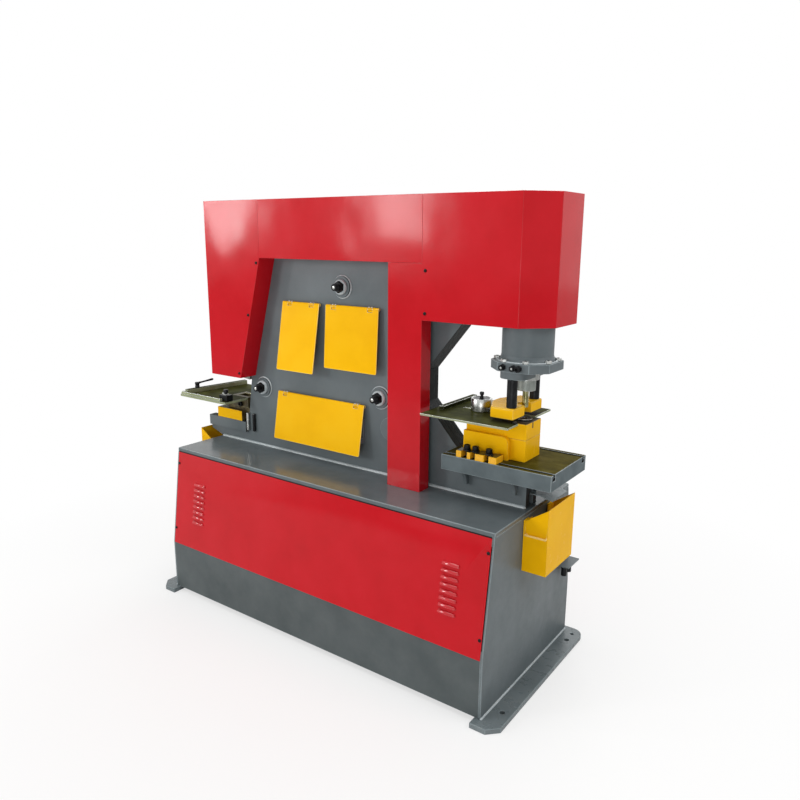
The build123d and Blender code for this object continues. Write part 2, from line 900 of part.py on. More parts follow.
# Punch cylinder: flange, barrel, bolts and the two plugs in its oil ports
flange_half = flange_size / 2
flange = block(
    (punch_x - flange_half, punch_x + flange_half),
    (-flange_half, flange_half),
    (flange_bottom, flange_top),
)
flange = chamfer(flange.edges().filter_by(Axis.Z), flange_corner)
flange -= rod_z(punch_x, 0, (flange_bottom, flange_top), ram_radius + ram_clearance)
bolt_places = []
for k in range(flange_bolt_count):
    turn = 2 * math.pi * (k + 0.5) / flange_bolt_count
    x = punch_x + flange_bolt_circle * math.cos(turn)
    y = flange_bolt_circle * math.sin(turn)
    bolt_places.append((x, y))
for x, y in bolt_places:
    flange -= rod_z(x, y, (flange_bottom, flange_top), flange_bolt_radius)

flange_bolts = []
nut_end = flange_top + flange_nut_height
for x, y in bolt_places:
    stud = rod_z(x, y, (flange_bottom, nut_end), flange_bolt_radius)
    nut = hexagon_z(x, y, (flange_top, nut_end), flange_nut_radius)
    nut -= rod_z(x, y, (flange_top, nut_end), flange_bolt_radius)
    flange_bolts.append(stud)
    flange_bolts.append(nut)
plug_y = (-flange_half - port_plug_length, -flange_half)
plug_z = (flange_bottom + flange_top) / 2
for step in (-0.5, 0.5):
    plug_x = punch_x + port_plug_shift + step * port_plug_pitch
    flange_bolts.append(rod_y(plug_x, plug_y, plug_z, port_plug_radius))
save("flange_bolts", *flange_bolts)

barrel = flange + rod_z(punch_x, 0, (flange_top, barrel_top), barrel_radius)
barrel -= rod_z(punch_x, 0, (flange_top, barrel_top - barrel_cap), bore_radius)
save("punch_cylinder", barrel)

# Ram with its piston, the coupling nut and the punch: these travel together
piston_top = barrel_top - barrel_cap - piston_top_room
ram_end = nut_bottom + nut_floor + punch_head_height
ram = rod_z(punch_x, 0, (piston_top - piston_height, piston_top), bore_radius - ram_clearance)
ram += rod_z(punch_x, 0, (nut_top, piston_top - piston_height), ram_radius)
ram += rod_z(punch_x, 0, (ram_end, nut_top), socket_radius)
save("punch_ram", ram)

coupling_nut = rod_z(punch_x, 0, (nut_bottom, nut_top), nut_radius)
coupling_nut -= rod_z(punch_x, 0, (nut_bottom + nut_floor, nut_top), socket_radius)
coupling_nut -= rod_z(punch_x, 0, (nut_bottom, nut_bottom + nut_floor), punch_radius)
save("coupling_nut", coupling_nut)

punch = rod_z(punch_x, 0, (punch_tip, nut_bottom + nut_floor), punch_radius)
punch += rod_z(punch_x, 0, (nut_bottom + nut_floor, ram_end), punch_head_radius)
save("punch", punch)

# Shear arm: a rocking plate on the pivot pin, open where the stock passes
arm_y = (-arm_half, arm_half)
rear_half_y = (blade_gap, arm_half)
front_half_y = (-plate_inner, -blade_gap)
arm_outline = above_base(
    [
        (arm_end_x, arm_end_rise),
        (arm_end_x, arm_left_top_rise),
        (shelf_root_x, arm_left_top_rise),
        (frame_top_left, arm_top_rise),
        (pivot_x, arm_top_rise),
        (pivot_x + arm_boss_radius, pivot_rise),
        (pivot_x - arm_boss_radius, pivot_rise),
        (flat_right + flat_relief, arm_flat_rise),
        (flat_left - flat_relief, arm_flat_rise),
        (flat_left - flat_relief, arm_bottom_rise),
        (arm_heel_x, arm_bottom_rise),
        (waist_high_x, arm_end_rise),
    ]
)
arm = plate_xz(arm_outline, arm_y)
arm += rod_y(pivot_x, arm_y, pivot_z, arm_boss_radius)
arm -= rod_y(pivot_x, arm_y, pivot_z, pivot_radius + pivot_clearance)
bar_window = (
    (bar_x + bar_window_shift_x - bar_window_width / 2, bar_x + bar_window_shift_x + bar_window_width / 2),
    (bar_z + bar_window_shift_z - bar_window_height / 2, bar_z + bar_window_shift_z + bar_window_height / 2),
)
angle_window = (
    (angle_corner_x - angle_window_left, angle_corner_x + angle_window_right),
    (angle_z - angle_window_below, angle_z + angle_window_above),
)
for x, z in (bar_window, angle_window):
    arm -= block(x, arm_y, z)
arm_left_top = base_top + arm_left_top_rise
pad_top = arm_left_top + pad_thickness
arm += block((pad_left, pad_right), arm_y, (arm_left_top, pad_top))
save("shear_arm", arm)

pin_y = (-frame_half, frame_half)
pivot_pin = rod_y(pivot_x, pin_y, pivot_z, pivot_radius)
for y in ((-frame_half - pivot_cap_thickness, -frame_half), (frame_half, frame_half + pivot_cap_thickness)):
    pivot_pin += rod_y(pivot_x, y, pivot_z, pivot_cap_radius)
save("pivot_pin", pivot_pin)


# Shear blades: the fixed ones seat on the front plate, the moving ones on the arm
def bar_holes(y):
    """The square and the round stock hole, side by side."""
    half = bar_square / 2
    square_x = bar_x - bar_hole_offset
    square = block((square_x - half, square_x + half), y, (bar_z - half, bar_z + half))
    return square + rod_y(bar_x + bar_hole_offset, y, bar_z, bar_round_radius)


bar_blade = block(
    (bar_x - bar_blade_width / 2, bar_x + bar_blade_width / 2),
    front_half_y,
    (bar_z - bar_blade_height / 2, bar_z + bar_blade_height / 2),
)
bar_blade -= bar_holes(front_half_y)
bar_mover = block(bar_window[0], rear_half_y, bar_window[1]) - bar_holes(rear_half_y)

angle_blade = block(
    (angle_corner_x - angle_wall, angle_corner_x + angle_opening_width),
    front_half_y,
    (angle_z - angle_floor, angle_z + angle_opening_height),
)
angle_blade -= block(angle_opening[0], front_half_y, angle_opening[1])
angle_mover = block(
    (angle_corner_x + angle_stock, angle_window[0][1]),
    rear_half_y,
    (angle_z + angle_stock, angle_window[1][1]),
)

flat_blade = block((flat_left, flat_right), front_half_y, (flat_z - flat_blade_height, flat_z))
flat_stroke_end = block(
    (flat_left, flat_right),
    rear_half_y,
    (flat_z - flat_overlap, base_top + arm_flat_rise + flat_opening),
)
arm_underside = block((flat_left, flat_right), rear_half_y, (base_bottom, base_top + arm_flat_rise))
flat_mover = at_rest(flat_stroke_end) & arm_underside
save("fixed_blades", bar_blade, angle_blade, flat_blade)
save("moving_blades", bar_mover, angle_mover, flat_mover)


# Stock guides: rings with a shelf, round the three openings on the front plate
def stock_guide(opening, depth):
    """A welded ring round the opening, with a deeper shelf below that the stock lies on."""
    (x0, x1), (z0, z1) = opening
    ring_x = (x0 - guide_wall, x1 + guide_wall)
    ring_y = (-frame_half - guide_ring_depth, -frame_half)
    ring = block(ring_x, ring_y, (z0 - guide_wall, z1 + guide_wall))
    ring -= block((x0, x1), ring_y, (z0, z1))
    return ring + block(ring_x, (-frame_half - depth, -frame_half), (z0 - guide_wall, z0))


guide_depths = (bar_guide_depth, angle_guide_depth, flat_guide_depth)
guides = [stock_guide(opening, depth) for opening, depth in zip(stock_openings, guide_depths)]
save("stock_guides", *guides)

# Guard flaps: sheets with rolled knuckles on pins, leaning on the stock guides
hinge_y = -frame_half - hinge_standoff


def lug_places(left, width):
    """The X limits of the two hinge lugs of one flap."""
    first = left + lug_inset
    second = left + width - lug_inset - lug_width
    return ((first, first + lug_width), (second, second + lug_width))


def guard_flap(left, width, height, hinge_z, opening, depth):
    """One flap, hanging from its pin and tipped until it rests on the guide's shelf."""
    x = (left, left + width)
    sheet_y = (hinge_y - knuckle_radius, hinge_y - knuckle_radius + flap_sheet)
    flap = block(x, sheet_y, (hinge_z - height, hinge_z))
    flap += rod_x(x, hinge_y, hinge_z, knuckle_radius)
    for low, high in lug_places(left, width):
        slot = (low - sheet_gap, high + sheet_gap)
        reach_y = (hinge_y - 2 * knuckle_radius, -frame_half)
        flap -= block(slot, reach_y, (hinge_z - 2 * knuckle_radius, hinge_z + knuckle_radius))
    flap -= rod_x(x, hinge_y, hinge_z, hinge_pin_radius + hinge_clearance)
    shelf_drop = hinge_z - opening[1][0]
    lean_out = depth + flap_rest_gap - hinge_standoff - knuckle_radius + flap_sheet
    tip = math.degrees(math.atan2(lean_out, shelf_drop))
    return flap.rotate(Axis((0, hinge_y, hinge_z), (1, 0, 0)), -tip)


def hinge_lug(x, hinge_z):
    """A lug welded to the front plate that holds the hinge pin."""
    lug = block(x, (hinge_y, -frame_half), (hinge_z - knuckle_radius, hinge_z + knuckle_radius))
    lug += rod_x(x, hinge_y, hinge_z, knuckle_radius)
    return lug - rod_x(x, hinge_y, hinge_z, hinge_pin_radius)


upper_hinge_z = base_top + upper_hinge_rise
lower_hinge_z = base_top + lower_hinge_rise
flap_list = (
    ("guard_flap_bar", bar_flap_left, bar_flap_width, bar_flap_height, upper_hinge_z),
    ("guard_flap_angle", angle_flap_left, angle_flap_width, angle_flap_height, upper_hinge_z),
    ("guard_flap_flat", flat_flap_left, flat_flap_width, flat_flap_height, lower_hinge_z),
)
flap_hinges = []
for (name, left, width, height, hinge_z), opening, depth in zip(flap_list, stock_openings, guide_depths):
    save(name, guard_flap(left, width, height, hinge_z, opening, depth))
    for lug_x in lug_places(left, width):
        flap_hinges.append(hinge_lug(lug_x, hinge_z))
    flap_hinges.append(rod_x((left, left + width), hinge_y, hinge_z, hinge_pin_radius))
save("flap_hinges", *flap_hinges)

# Side adjusters through both plates: disc, lock nut and stud
adjuster_pieces = []
stud_tip = arm_half + sheet_gap
for side in (-1, 1):
    for x, rise in adjusters:
        z = base_top + rise
        disc_y = sorted((side * frame_half, side * (frame_half + adjuster_disc_thickness)))
        nut_face = frame_half + adjuster_disc_thickness
        lock_y = sorted((side * nut_face, side * (nut_face + adjuster_nut_height)))
        stud_y = sorted((side * stud_tip, side * (frame_half + adjuster_stud_length)))
        hole = rod_y(x, stud_y, z, adjuster_stud_radius)
        frame_webs.append(rod_y(x, disc_y, z, adjuster_disc_radius) - hole)
        adjuster_pieces.append(hexagon_y(x, lock_y, z, adjuster_nut_radius) - hole)
        adjuster_pieces.append(hole)
save("side_adjusters", *adjuster_pieces)
save("frame_webs", *frame_webs)

# Shear cylinder on its bracket, with the rod that presses on the arm's wear pad
bracket = block(
    (bracket_left, bracket_right),
    (-bracket_width / 2, bracket_width / 2),
    (shelf_top, bracket_top),
)
bracket -= rod_z(shear_x, 0, (shelf_top, bracket_top), shear_rod_radius + ram_clearance)

shear_flange_top = bracket_top + shear_flange_thickness
shear_top = shear_flange_top + shear_barrel_length
shear_barrel = rod_z(shear_x, 0, (bracket_top, shear_flange_top), shear_flange_radius)
shear_barrel += rod_z(shear_x, 0, (shear_flange_top, shear_top), shear_barrel_radius)
shear_barrel -= rod_z(shear_x, 0, (bracket_top, shear_flange_top), shear_rod_radius + ram_clearance)
shear_bore_top = shear_top - shear_cap
shear_barrel -= rod_z(shear_x, 0, (shear_flange_top, shear_bore_top), shear_bore_radius)
save("shear_cylinder", bracket + shear_barrel)

rod_bottom = pad_top + rod_rest_gap
rod_top = shear_bore_top - piston_top_room
shear_rod = rod_z(shear_x, 0, (rod_bottom, rod_top), shear_rod_radius)
rounding = Pos(shear_x, 0, rod_bottom + rod_end_radius) * Sphere(rod_end_radius)
below_centre = block(
    (shear_x - rod_end_radius, shear_x + rod_end_radius),
    (-rod_end_radius, rod_end_radius),
    (rod_bottom, rod_bottom + rod_end_radius),
)
shear_rod -= below_centre - rounding
piston_z = (rod_top - shear_piston_height, rod_top)
shear_rod += rod_z(shear_x, 0, piston_z, shear_bore_radius - ram_clearance)
save("shear_rod", shear_rod)

# Notching station: holder, die and table on the left jaw, punch under the arm's end
holder_half = notch_holder_width / 2
low_z = (left_jaw_top, left_jaw_top + notch_holder_low)
holder = block((notch_holder_left, notch_holder_right), (-holder_half, holder_half), low_z)
high_z = (low_z[1], notch_table_bottom)
high_y = (notch_holder_setback - holder_half, holder_half)
holder += block((notch_holder_step, notch_holder_right), high_y, high_z)
die_half_x = notch_die_length / 2
die_half_y = notch_die_width / 2
notch_die_x = (notch_x - die_half_x, notch_x + die_half_x)
notch_die_y = (-die_half_y, die_half_y)
notch_die_z = (notch_table_top - notch_die_height, notch_table_top)
opening_x = (
    notch_x - notch_length / 2 - notch_clearance,
    notch_x + notch_length / 2 + notch_clearance,
)
opening_y = (-notch_width / 2 - notch_clearance, notch_width / 2 + notch_clearance)
right_edge_x = (notch_die_x[0], notch_holder_right)
holder -= block(right_edge_x, notch_die_y, (notch_die_z[0], notch_table_bottom))
holder -= block(opening_x, gap_y, (left_jaw_top, notch_die_z[0]))
relief_x = (notch_relief_left, notch_holder_right)
holder -= block(relief_x, (-holder_half, notch_relief_y), (left_jaw_top, notch_table_bottom))
save("notch_holder", holder)

notch_die = block((notch_die_x[0], notch_holder_right), notch_die_y, notch_die_z)
notch_die -= block(opening_x, opening_y, notch_die_z)
save("notch_die", notch_die)

table_y = notch_table_depth / 2
table_z = (notch_table_bottom, notch_table_top)
notch_table = block((notch_table_left, notch_holder_right), (-table_y, table_y), table_z)
notch_table -= block((notch_die_x[0], notch_holder_right), notch_die_y, table_z)
tip_z = notch_table_top - notch_entry
notch_punch = block(
    (notch_x - notch_length / 2, notch_x + notch_length / 2),
    (-notch_width / 2, notch_width / 2),
    (tip_z, tip_z + notch_punch_height),
)
block_z = (tip_z + notch_punch_height, tip_z + notch_punch_height + notch_block_height)
notch_block = block(
    (notch_x - notch_length / 2, notch_x + notch_length / 2),
    (-notch_block_width / 2, notch_block_width / 2),
    block_z,
)
notch_tool = at_rest(notch_punch + notch_block) - plate_xz(arm_outline, arm_y)
save("notch_punch", notch_tool)

# Fences on the notch table: a swivelling side fence, and a stop that slides along the front rail
fence_x = notch_table_left + fence_inset
fence_pin_y = -table_y + lever_from_front
fence_front = -table_y + front_fence_width + fence_end_gap
fence_z = (notch_table_top + slider_gap, notch_table_top + slider_gap + fence_height)
fence = block(
    (fence_x - fence_width / 2, fence_x + fence_width / 2),
    (fence_front, fence_front + fence_length),
    fence_z,
)
fence -= rod_z(fence_x, fence_pin_y, fence_z, lever_screw_radius + hinge_clearance)
fence_pivot = Axis((fence_x, fence_pin_y, 0), (0, 0, 1))
save("side_fence", fence.rotate(fence_pivot, -fence_angle_degrees))

rail_x = notch_holder_right - front_fence_start - front_fence_length
rail_y = (-table_y, -table_y + front_fence_width)
front_rail = block(
    (rail_x, rail_x + front_fence_length),
    rail_y,
    (notch_table_top, notch_table_top + front_fence_height),
)
save("front_rail", front_rail)

slider_right = notch_holder_right - slider_from_edge
slider_x = (slider_right - slider_length, slider_right)
slider_y = (rail_y[1] + slider_gap, rail_y[1] + slider_gap + slider_width)
slider_bottom = notch_table_top + slider_gap
slider_top = slider_bottom + slider_height
slider = block(slider_x, slider_y, (slider_bottom, slider_top))
slider_pin_z = (slider_top, slider_top + slider_pin_height)
slider += rod_z(sum(slider_x) / 2, sum(slider_y) / 2, slider_pin_z, slider_pin_radius)
save("slide_stop", slider)

lever_bottom = fence_z[1] + slider_gap
hub_top = lever_bottom + lever_hub_height
notch_table += rod_z(fence_x, fence_pin_y, (notch_table_top, hub_top), lever_screw_radius)
save("notch_table", notch_table)
lever = rod_z(fence_x, fence_pin_y, (lever_bottom, hub_top), lever_hub_radius)
grip_low = (fence_x, fence_pin_y, hub_top - lever_grip_radius)
grip_high = (fence_x, fence_pin_y + lever_length, hub_top - lever_grip_radius + lever_tip_rise)
grip_line = Line(grip_low, grip_high)
grip_start = Plane(origin=grip_low, z_dir=grip_line % 0)
lever += extrude(grip_start * Circle(lever_grip_radius), amount=grip_line.length)
lever_bore = lever_screw_radius + hinge_clearance
lever -= rod_z(fence_x, fence_pin_y, (lever_bottom, hub_top + lever_tip_rise), lever_bore)
save("clamp_lever", lever.rotate(fence_pivot, -lever_turn_degrees))

rods = []
rod_z_limits = (base_top + rod_guide_rise, base_top + rod_guide_rise + rod_guide_length)
for k in range(2):
    x = rod_guide_x + k * rod_guide_pitch
    rods.append(rod_z(x, -frame_half - rod_guide_radius, rod_z_limits, rod_guide_radius))
save("stroke_rods", *rods)

# Sheet covers: folded shells round the frame, open towards the frame and below
frame_slot_y = (-frame_half - sheet_gap, frame_half + sheet_gap)
cover_y = (-cover_half_depth, cover_half_depth)
cover_inner_y = (-cover_half_depth + cover_sheet, cover_half_depth - cover_sheet)
roof_inside = cover_top - cover_sheet
band_bottom = base_top + band_bottom_rise
left_bottom = base_top + left_cover_bottom_rise
left_cover_outline = [
    (cover_left, left_bottom),
    (cover_left, cover_top),
    (left_cover_right, cover_top),
    (left_cover_right, band_bottom),
    (left_cover_low_right, left_bottom),
]
left_inside = [
    (cover_left + cover_sheet, left_bottom),
    (cover_left + cover_sheet, roof_inside),
    (left_cover_right, roof_inside),
    (left_cover_right, band_bottom),
    (left_cover_right - cover_sheet, band_bottom),
    (left_cover_low_right - cover_sheet, left_bottom),
]
left_cover = plate_xz(left_cover_outline, cover_y) - plate_xz(left_inside, cover_inner_y)
slot_x = (left_cover_low_right - cover_sheet, left_cover_right)
left_cover -= block(slot_x, frame_slot_y, (left_bottom, band_bottom))
save("left_cover", left_cover)

band_x = (left_cover_right, band_right)
band = block(band_x, cover_y, (band_bottom, cover_top))
band -= block(band_x, cover_inner_y, (band_bottom + cover_sheet, roof_inside))
band -= block(band_x, frame_slot_y, (band_bottom, band_bottom + cover_sheet))
save("top_cover", band)


def hood_plan(inset):
    """The plan of the hood round the punch cylinder, drawn in by a distance; its front corner is cut off."""
    half = cover_half_depth - inset
    turn = math.atan2(cover_half_depth - hood_end_front, hood_end - hood_chamfer_x)
    corner_x = hood_chamfer_x - inset * math.tan(turn / 2)
    corner_y = inset * math.tan((math.pi / 2 - turn) / 2) - hood_end_front
    return [
        (band_right, -half),
        (corner_x, -half),
        (hood_end - inset, corner_y),
        (hood_end - inset, half),
        (band_right, half),
    ]


hood_bottom = base_top + hood_bottom_rise
right_cover = plate_xy(hood_plan(0), (hood_bottom, cover_top))
right_cover -= plate_xy(hood_plan(cover_sheet), (hood_bottom, roof_inside))
column_z = (base_top, band_bottom)
left_return_x = (column_left, column_left + cover_sheet)
right_return_x = (column_right - cover_sheet, column_right)
right_return_y = (-cover_half_depth, column_return - cover_half_depth)
right_cover += block((column_left, column_right), (cover_y[0], cover_inner_y[0]), column_z)
right_cover += block(left_return_x, (-cover_half_depth, frame_slot_y[0]), column_z)
right_cover += block(right_return_x, right_return_y, (base_top, hood_bottom))
save("right_cover", right_cover)

slant_run = (left_cover_right - left_cover_low_right) / (band_bottom - left_bottom)
screw_places = []
for rise in slant_screw_rises:
    edge_x = left_cover_low_right + slant_run * (base_top + rise - left_bottom)
    screw_places.append((edge_x - cover_screw_inset, base_top + rise))
for z in (hood_bottom + cover_screw_end_inset, band_bottom - cover_screw_end_inset):
    screw_places.append((column_right + cover_screw_inset, z))
front_heads = (cover_y[0] - cover_screw_height, cover_y[0])
rear_heads = (cover_y[1], cover_y[1] + cover_screw_height)
for x, z in screw_places:
    sheet_screws.append(rod_y(x, front_heads, z, cover_screw_radius))
    sheet_screws.append(rod_y(x, rear_heads, z, cover_screw_radius))
save("sheet_screws", *sheet_screws)


# Scrap bins: open sheet boxes hooked over hangers on the base ends
bin_inner_x = end_x + bin_standoff
bin_outer_x = end_x + bin_reach
side_outline = [
    (bin_inner_x, bin_bottom),
    (bin_outer_x, bin_bottom),
    (bin_outer_x, bin_outer_top),
    (bin_inner_x, bin_inner_top),
]
scrap_bin = plate_xz(side_outline, (bin_front, bin_back))
scrap_bin -= block(
    (bin_inner_x + bin_sheet, bin_outer_x - bin_sheet),
    (bin_front + bin_sheet, bin_back - bin_sheet),
    (bin_bottom + bin_sheet, bin_outer_top),
)
bin_middle = (bin_front + bin_back) / 2
notch_reach = (bin_middle - bin_notch_half, bin_middle + bin_notch_half)
scrap_bin -= block((bin_inner_x, bin_inner_x + bin_sheet), notch_reach, (bin_notch_bottom, bin_outer_top))
ear_x = (end_x + bin_ear_gap, bin_inner_x)
for ear_front in (bin_front, bin_back - bin_sheet):
    scrap_bin += block(ear_x, (ear_front, ear_front + bin_sheet), (bin_bottom, bin_inner_top))
hook_left = end_x + (hanger_spacer - hook_sheet) / 2
hook_width = hanger_width - 2 * sheet_gap
hanger_places = []
hanger_inset = bin_sheet + sheet_gap
for edge_y in (bin_front + hanger_inset, bin_back - hanger_inset - hanger_width):
    hanger_places.append((edge_y, edge_y + hanger_width))
for low, high in hanger_places:
    hook_y = (low + sheet_gap, low + sheet_gap + hook_width)
    bridge_z = (bin_inner_top - hook_sheet, bin_inner_top)
    hook_z = (bin_inner_top - hook_depth, bin_inner_top)
    scrap_bin += block((hook_left, bin_inner_x + bin_sheet), hook_y, bridge_z)
    scrap_bin += block((hook_left, hook_left + hook_sheet), hook_y, hook_z)
hanger_top = bin_inner_top - hook_sheet - sheet_gap
spacer_top = bin_inner_top - hook_depth - sheet_gap
hangers = []
for y in hanger_places:
    hanger = block((end_x, end_x + hanger_spacer), y, (hanger_top - hanger_height, spacer_top))
    plate_x = (end_x + hanger_spacer, end_x + hanger_spacer + hanger_plate)
    hangers.append(hanger + block(plate_x, y, (hanger_top - hanger_height, hanger_top)))
save("bin_hangers", *hangers, *[mirrored(hanger) for hanger in hangers])

handle_z = bin_bottom + handle_rise
handle_y = bin_front - handle_standoff
handle = rod_x((bin_inner_x + handle_inset, bin_outer_x - handle_inset), handle_y, handle_z, handle_radius)
for x in (bin_inner_x + handle_inset + handle_radius, bin_outer_x - handle_inset - handle_radius):
    handle += rod_y(x, (handle_y, bin_front), handle_z, handle_radius)
scrap_bin += handle
save("scrap_bin_right", scrap_bin)
save("scrap_bin_left", mirrored(scrap_bin))

# Power unit on the base floor: tank, lid, motor, coupling, pump, valve block, wiring box
tank_left = -end_inner + tank_from_end
tank_x = (tank_left, tank_left + tank_length)
tank_y = (-tank_depth / 2, tank_depth / 2)
tank_top = floor_top + tank_height
tank = block(tank_x, tank_y, (floor_top, tank_top))
tank -= block(
    (tank_x[0] + tank_wall, tank_x[1] - tank_wall),
    (tank_y[0] + tank_wall, tank_y[1] - tank_wall),
    (floor_top + tank_wall, tank_top),
)
save("oil_tank", tank)
lid_top = tank_top + lid_thickness
save("tank_lid", block(tank_x, tank_y, (tank_top, lid_top)))

motor_axis = lid_top + motor_axis_rise
motor_left = tank_left + motor_from_tank_end
motor_right = motor_left + motor_length
motor_middle = (motor_left + motor_right) / 2
motor = rod_x((motor_left, motor_right), 0, motor_axis, motor_radius)
motor += block(
    (motor_middle - motor_foot_length / 2, motor_middle + motor_foot_length / 2),
    (-motor_foot_width / 2, motor_foot_width / 2),
    (lid_top, motor_axis),
)
save("motor", motor)
coupling_end = motor_right + coupling_length
pump = rod_x((motor_right, coupling_end), 0, motor_axis, coupling_radius)
pump += block(
    (coupling_end, coupling_end + pump_length),
    (-pump_size / 2, pump_size / 2),
    (lid_top, motor_axis + pump_size / 2),
)
save("pump", pump)
valve_x = (tank_x[1] - valve_length, tank_x[1])
valve_y = (valve_gap - valve_depth / 2, valve_gap + valve_depth / 2)
save("valve_block", block(valve_x, valve_y, (lid_top, lid_top + valve_height)))
box_right = end_inner - box_from_end
box_x = (box_right - box_length, box_right)
box_y = (-box_depth / 2, box_depth / 2)
save("wiring_box", block(box_x, box_y, (floor_top, floor_top + box_height)))

# Socket shelf on the right end plate
shelf_z = (shelf_plate_height, shelf_plate_height + shelf_plate_thickness)
socket_shelf = [block((end_x, end_x + shelf_plate_width), (shelf_plate_front, shelf_plate_back), shelf_z)]
for k in range(2):
    y = shelf_plate_front + socket_body_radius + k * socket_spacing
    socket_z = (shelf_plate_height - socket_body_height, shelf_plate_height)
    socket_shelf.append(rod_z(end_x + shelf_plate_width / 2, y, socket_z, socket_body_radius))
save("socket_shelf", *socket_shelf)
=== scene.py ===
import json
import math

import bmesh
import bpy
from mathutils import Matrix, Vector

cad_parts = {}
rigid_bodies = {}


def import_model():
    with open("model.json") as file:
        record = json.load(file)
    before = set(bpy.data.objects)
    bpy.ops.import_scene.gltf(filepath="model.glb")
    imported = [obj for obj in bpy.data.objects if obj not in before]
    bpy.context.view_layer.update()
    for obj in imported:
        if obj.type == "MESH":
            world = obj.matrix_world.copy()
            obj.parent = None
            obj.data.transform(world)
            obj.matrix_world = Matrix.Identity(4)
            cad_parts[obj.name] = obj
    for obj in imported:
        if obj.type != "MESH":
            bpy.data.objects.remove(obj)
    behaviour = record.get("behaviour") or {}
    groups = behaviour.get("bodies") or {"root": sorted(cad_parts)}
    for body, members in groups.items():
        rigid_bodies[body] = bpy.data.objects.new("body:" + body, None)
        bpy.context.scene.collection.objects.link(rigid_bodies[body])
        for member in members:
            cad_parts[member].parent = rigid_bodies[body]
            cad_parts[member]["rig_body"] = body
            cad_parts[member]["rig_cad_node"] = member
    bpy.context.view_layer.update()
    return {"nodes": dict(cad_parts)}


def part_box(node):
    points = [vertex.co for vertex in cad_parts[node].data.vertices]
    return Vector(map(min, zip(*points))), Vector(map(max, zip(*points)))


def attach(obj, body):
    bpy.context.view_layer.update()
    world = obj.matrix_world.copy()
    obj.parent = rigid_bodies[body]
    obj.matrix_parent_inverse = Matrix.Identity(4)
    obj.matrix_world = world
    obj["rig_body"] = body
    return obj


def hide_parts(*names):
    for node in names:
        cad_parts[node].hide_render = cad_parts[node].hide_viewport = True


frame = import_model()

# Base cabinet: a floor tray, two end plates and a top plate, cut from steel plate and welded.
# It is sprayed in grey machine enamel; the rounded edges are shinier and painted paler, as a painted
# highlight.
# The top is wiped clean and mirrors the frame; the tray near the floor is dusty and dull, and painted
# darker as the shade that falls near the floor.


def linear(code):
    """An sRGB hex colour as the linear numbers that a shader socket takes."""
    shares = [int(code[k:k + 2], 16) / 255 for k in (1, 3, 5)]
    return [s / 12.92 if s <= 0.04045 else ((s + 0.055) / 1.055) ** 2.4 for s in shares] + [1.0]


def add_node(material, kind, values=None, links=None, steps=(), **settings):
    """Adds one shader node with its options and numbers, and links what feeds it.
    The steps are (amount, hex colour) pairs, for a node that turns an amount into a colour."""
    tree = material.node_tree
    node = tree.nodes.new(kind)
    for option, value in settings.items():
        setattr(node, option, value)
    for socket, value in (values or {}).items():
        node.inputs[socket].default_value = value
    for socket, source in (links or {}).items():
        tree.links.new(source, node.inputs[socket])
    for _ in steps[2:]:
        node.color_ramp.elements.new(0.5)
    for k, (amount, code) in enumerate(steps):
        node.color_ramp.elements[k].position = amount
        node.color_ramp.elements[k].color = linear(code)
    return node


def new_material(name, numbers, sources):
    """Starts a material; numbers and linked sources go straight to its surface shader."""
    material = bpy.data.materials.new(name)
    material.use_nodes = True
    shader = material.node_tree.nodes["Principled BSDF"]
    for socket, value in numbers.items():
        shader.inputs[socket].default_value = value
    for socket, source in sources(material).items():
        material.node_tree.links.new(source, shader.inputs[socket])
    return material


def pattern_scale(millimetres):
    """The scale of a pattern whose features are that many millimetres wide."""
    return 1000 / millimetres


def enamel(name, tones, roughness, dulling, wave, shine=0.2):
    """Sprayed enamel in three tones, deep to faded: the colour drifts over a hand's width, dust
    dulls the gloss in patches, and waves of the sheet and the spray's orange peel bend reflections."""

    def sources(material):
        place = add_node(material, "ShaderNodeTexCoord").outputs["Object"]
        drift = add_node(material, "ShaderNodeTexNoise",
                         {"Scale": pattern_scale(190), "Detail": 4.0, "Roughness": 0.6}, {"Vector": place})
        colour = add_node(material, "ShaderNodeValToRGB", links={"Fac": drift.outputs["Fac"]},
                          steps=list(zip((0.25, 0.5, 0.8), tones)))
        dust = add_node(material, "ShaderNodeTexNoise",
                        {"Scale": pattern_scale(45), "Detail": 6.0, "Roughness": 0.65}, {"Vector": place})
        gloss = add_node(material, "ShaderNodeMapRange",
                         {"From Min": 0.3, "From Max": 0.75, "To Min": roughness,
                          "To Max": roughness + dulling}, {"Value": dust.outputs["Fac"]})
        # Real orange peel is 2 mm wide; it is drawn at 9 mm, or it would not show.
        peel = add_node(material, "ShaderNodeTexNoise", {"Scale": pattern_scale(9), "Detail": 2.0},
                        {"Vector": place})
        waves = add_node(material, "ShaderNodeTexNoise", {"Scale": pattern_scale(330), "Detail": 1.0},
                         {"Vector": place})
        fine = add_node(material, "ShaderNodeBump", {"Strength": 0.25, "Distance": 0.0005},
                        {"Height": peel.outputs["Fac"]})
        broad = add_node(material, "ShaderNodeBump", {"Strength": 1.0, "Distance": wave},
                         {"Height": waves.outputs["Fac"], "Normal": fine.outputs["Normal"]})
        return {"Base Color": colour.outputs["Color"], "Roughness": gloss.outputs["Result"],
                "Normal": broad.outputs["Normal"]}

    return new_material(name, {"IOR": 1.5, "Specular IOR Level": shine}, sources)


grey_enamel = enamel("grey_machine_enamel", ("#5B6467", "#656D70", "#6F777A"),
                     roughness=0.34, dulling=0.16, wave=0.004)
grey_edge_highlight = enamel("grey_enamel_painted_paler_on_edges_as_highlight", ("#747F82", "#828C8F", "#929B9D"),
                   roughness=0.24, dulling=0.1, wave=0.001)
top_enamel = enamel("glossy_grey_enamel_on_the_top", ("#555E61", "#5F676A", "#697174"),
                    roughness=0.15, dulling=0.12, wave=0.004, shine=0.38)
dusty_and_shaded_enamel = enamel("dusty_grey_enamel_painted_darker_as_shade", ("#484F50", "#535A5B", "#5E6566"),
                      roughness=0.42, dulling=0.16, wave=0.004)


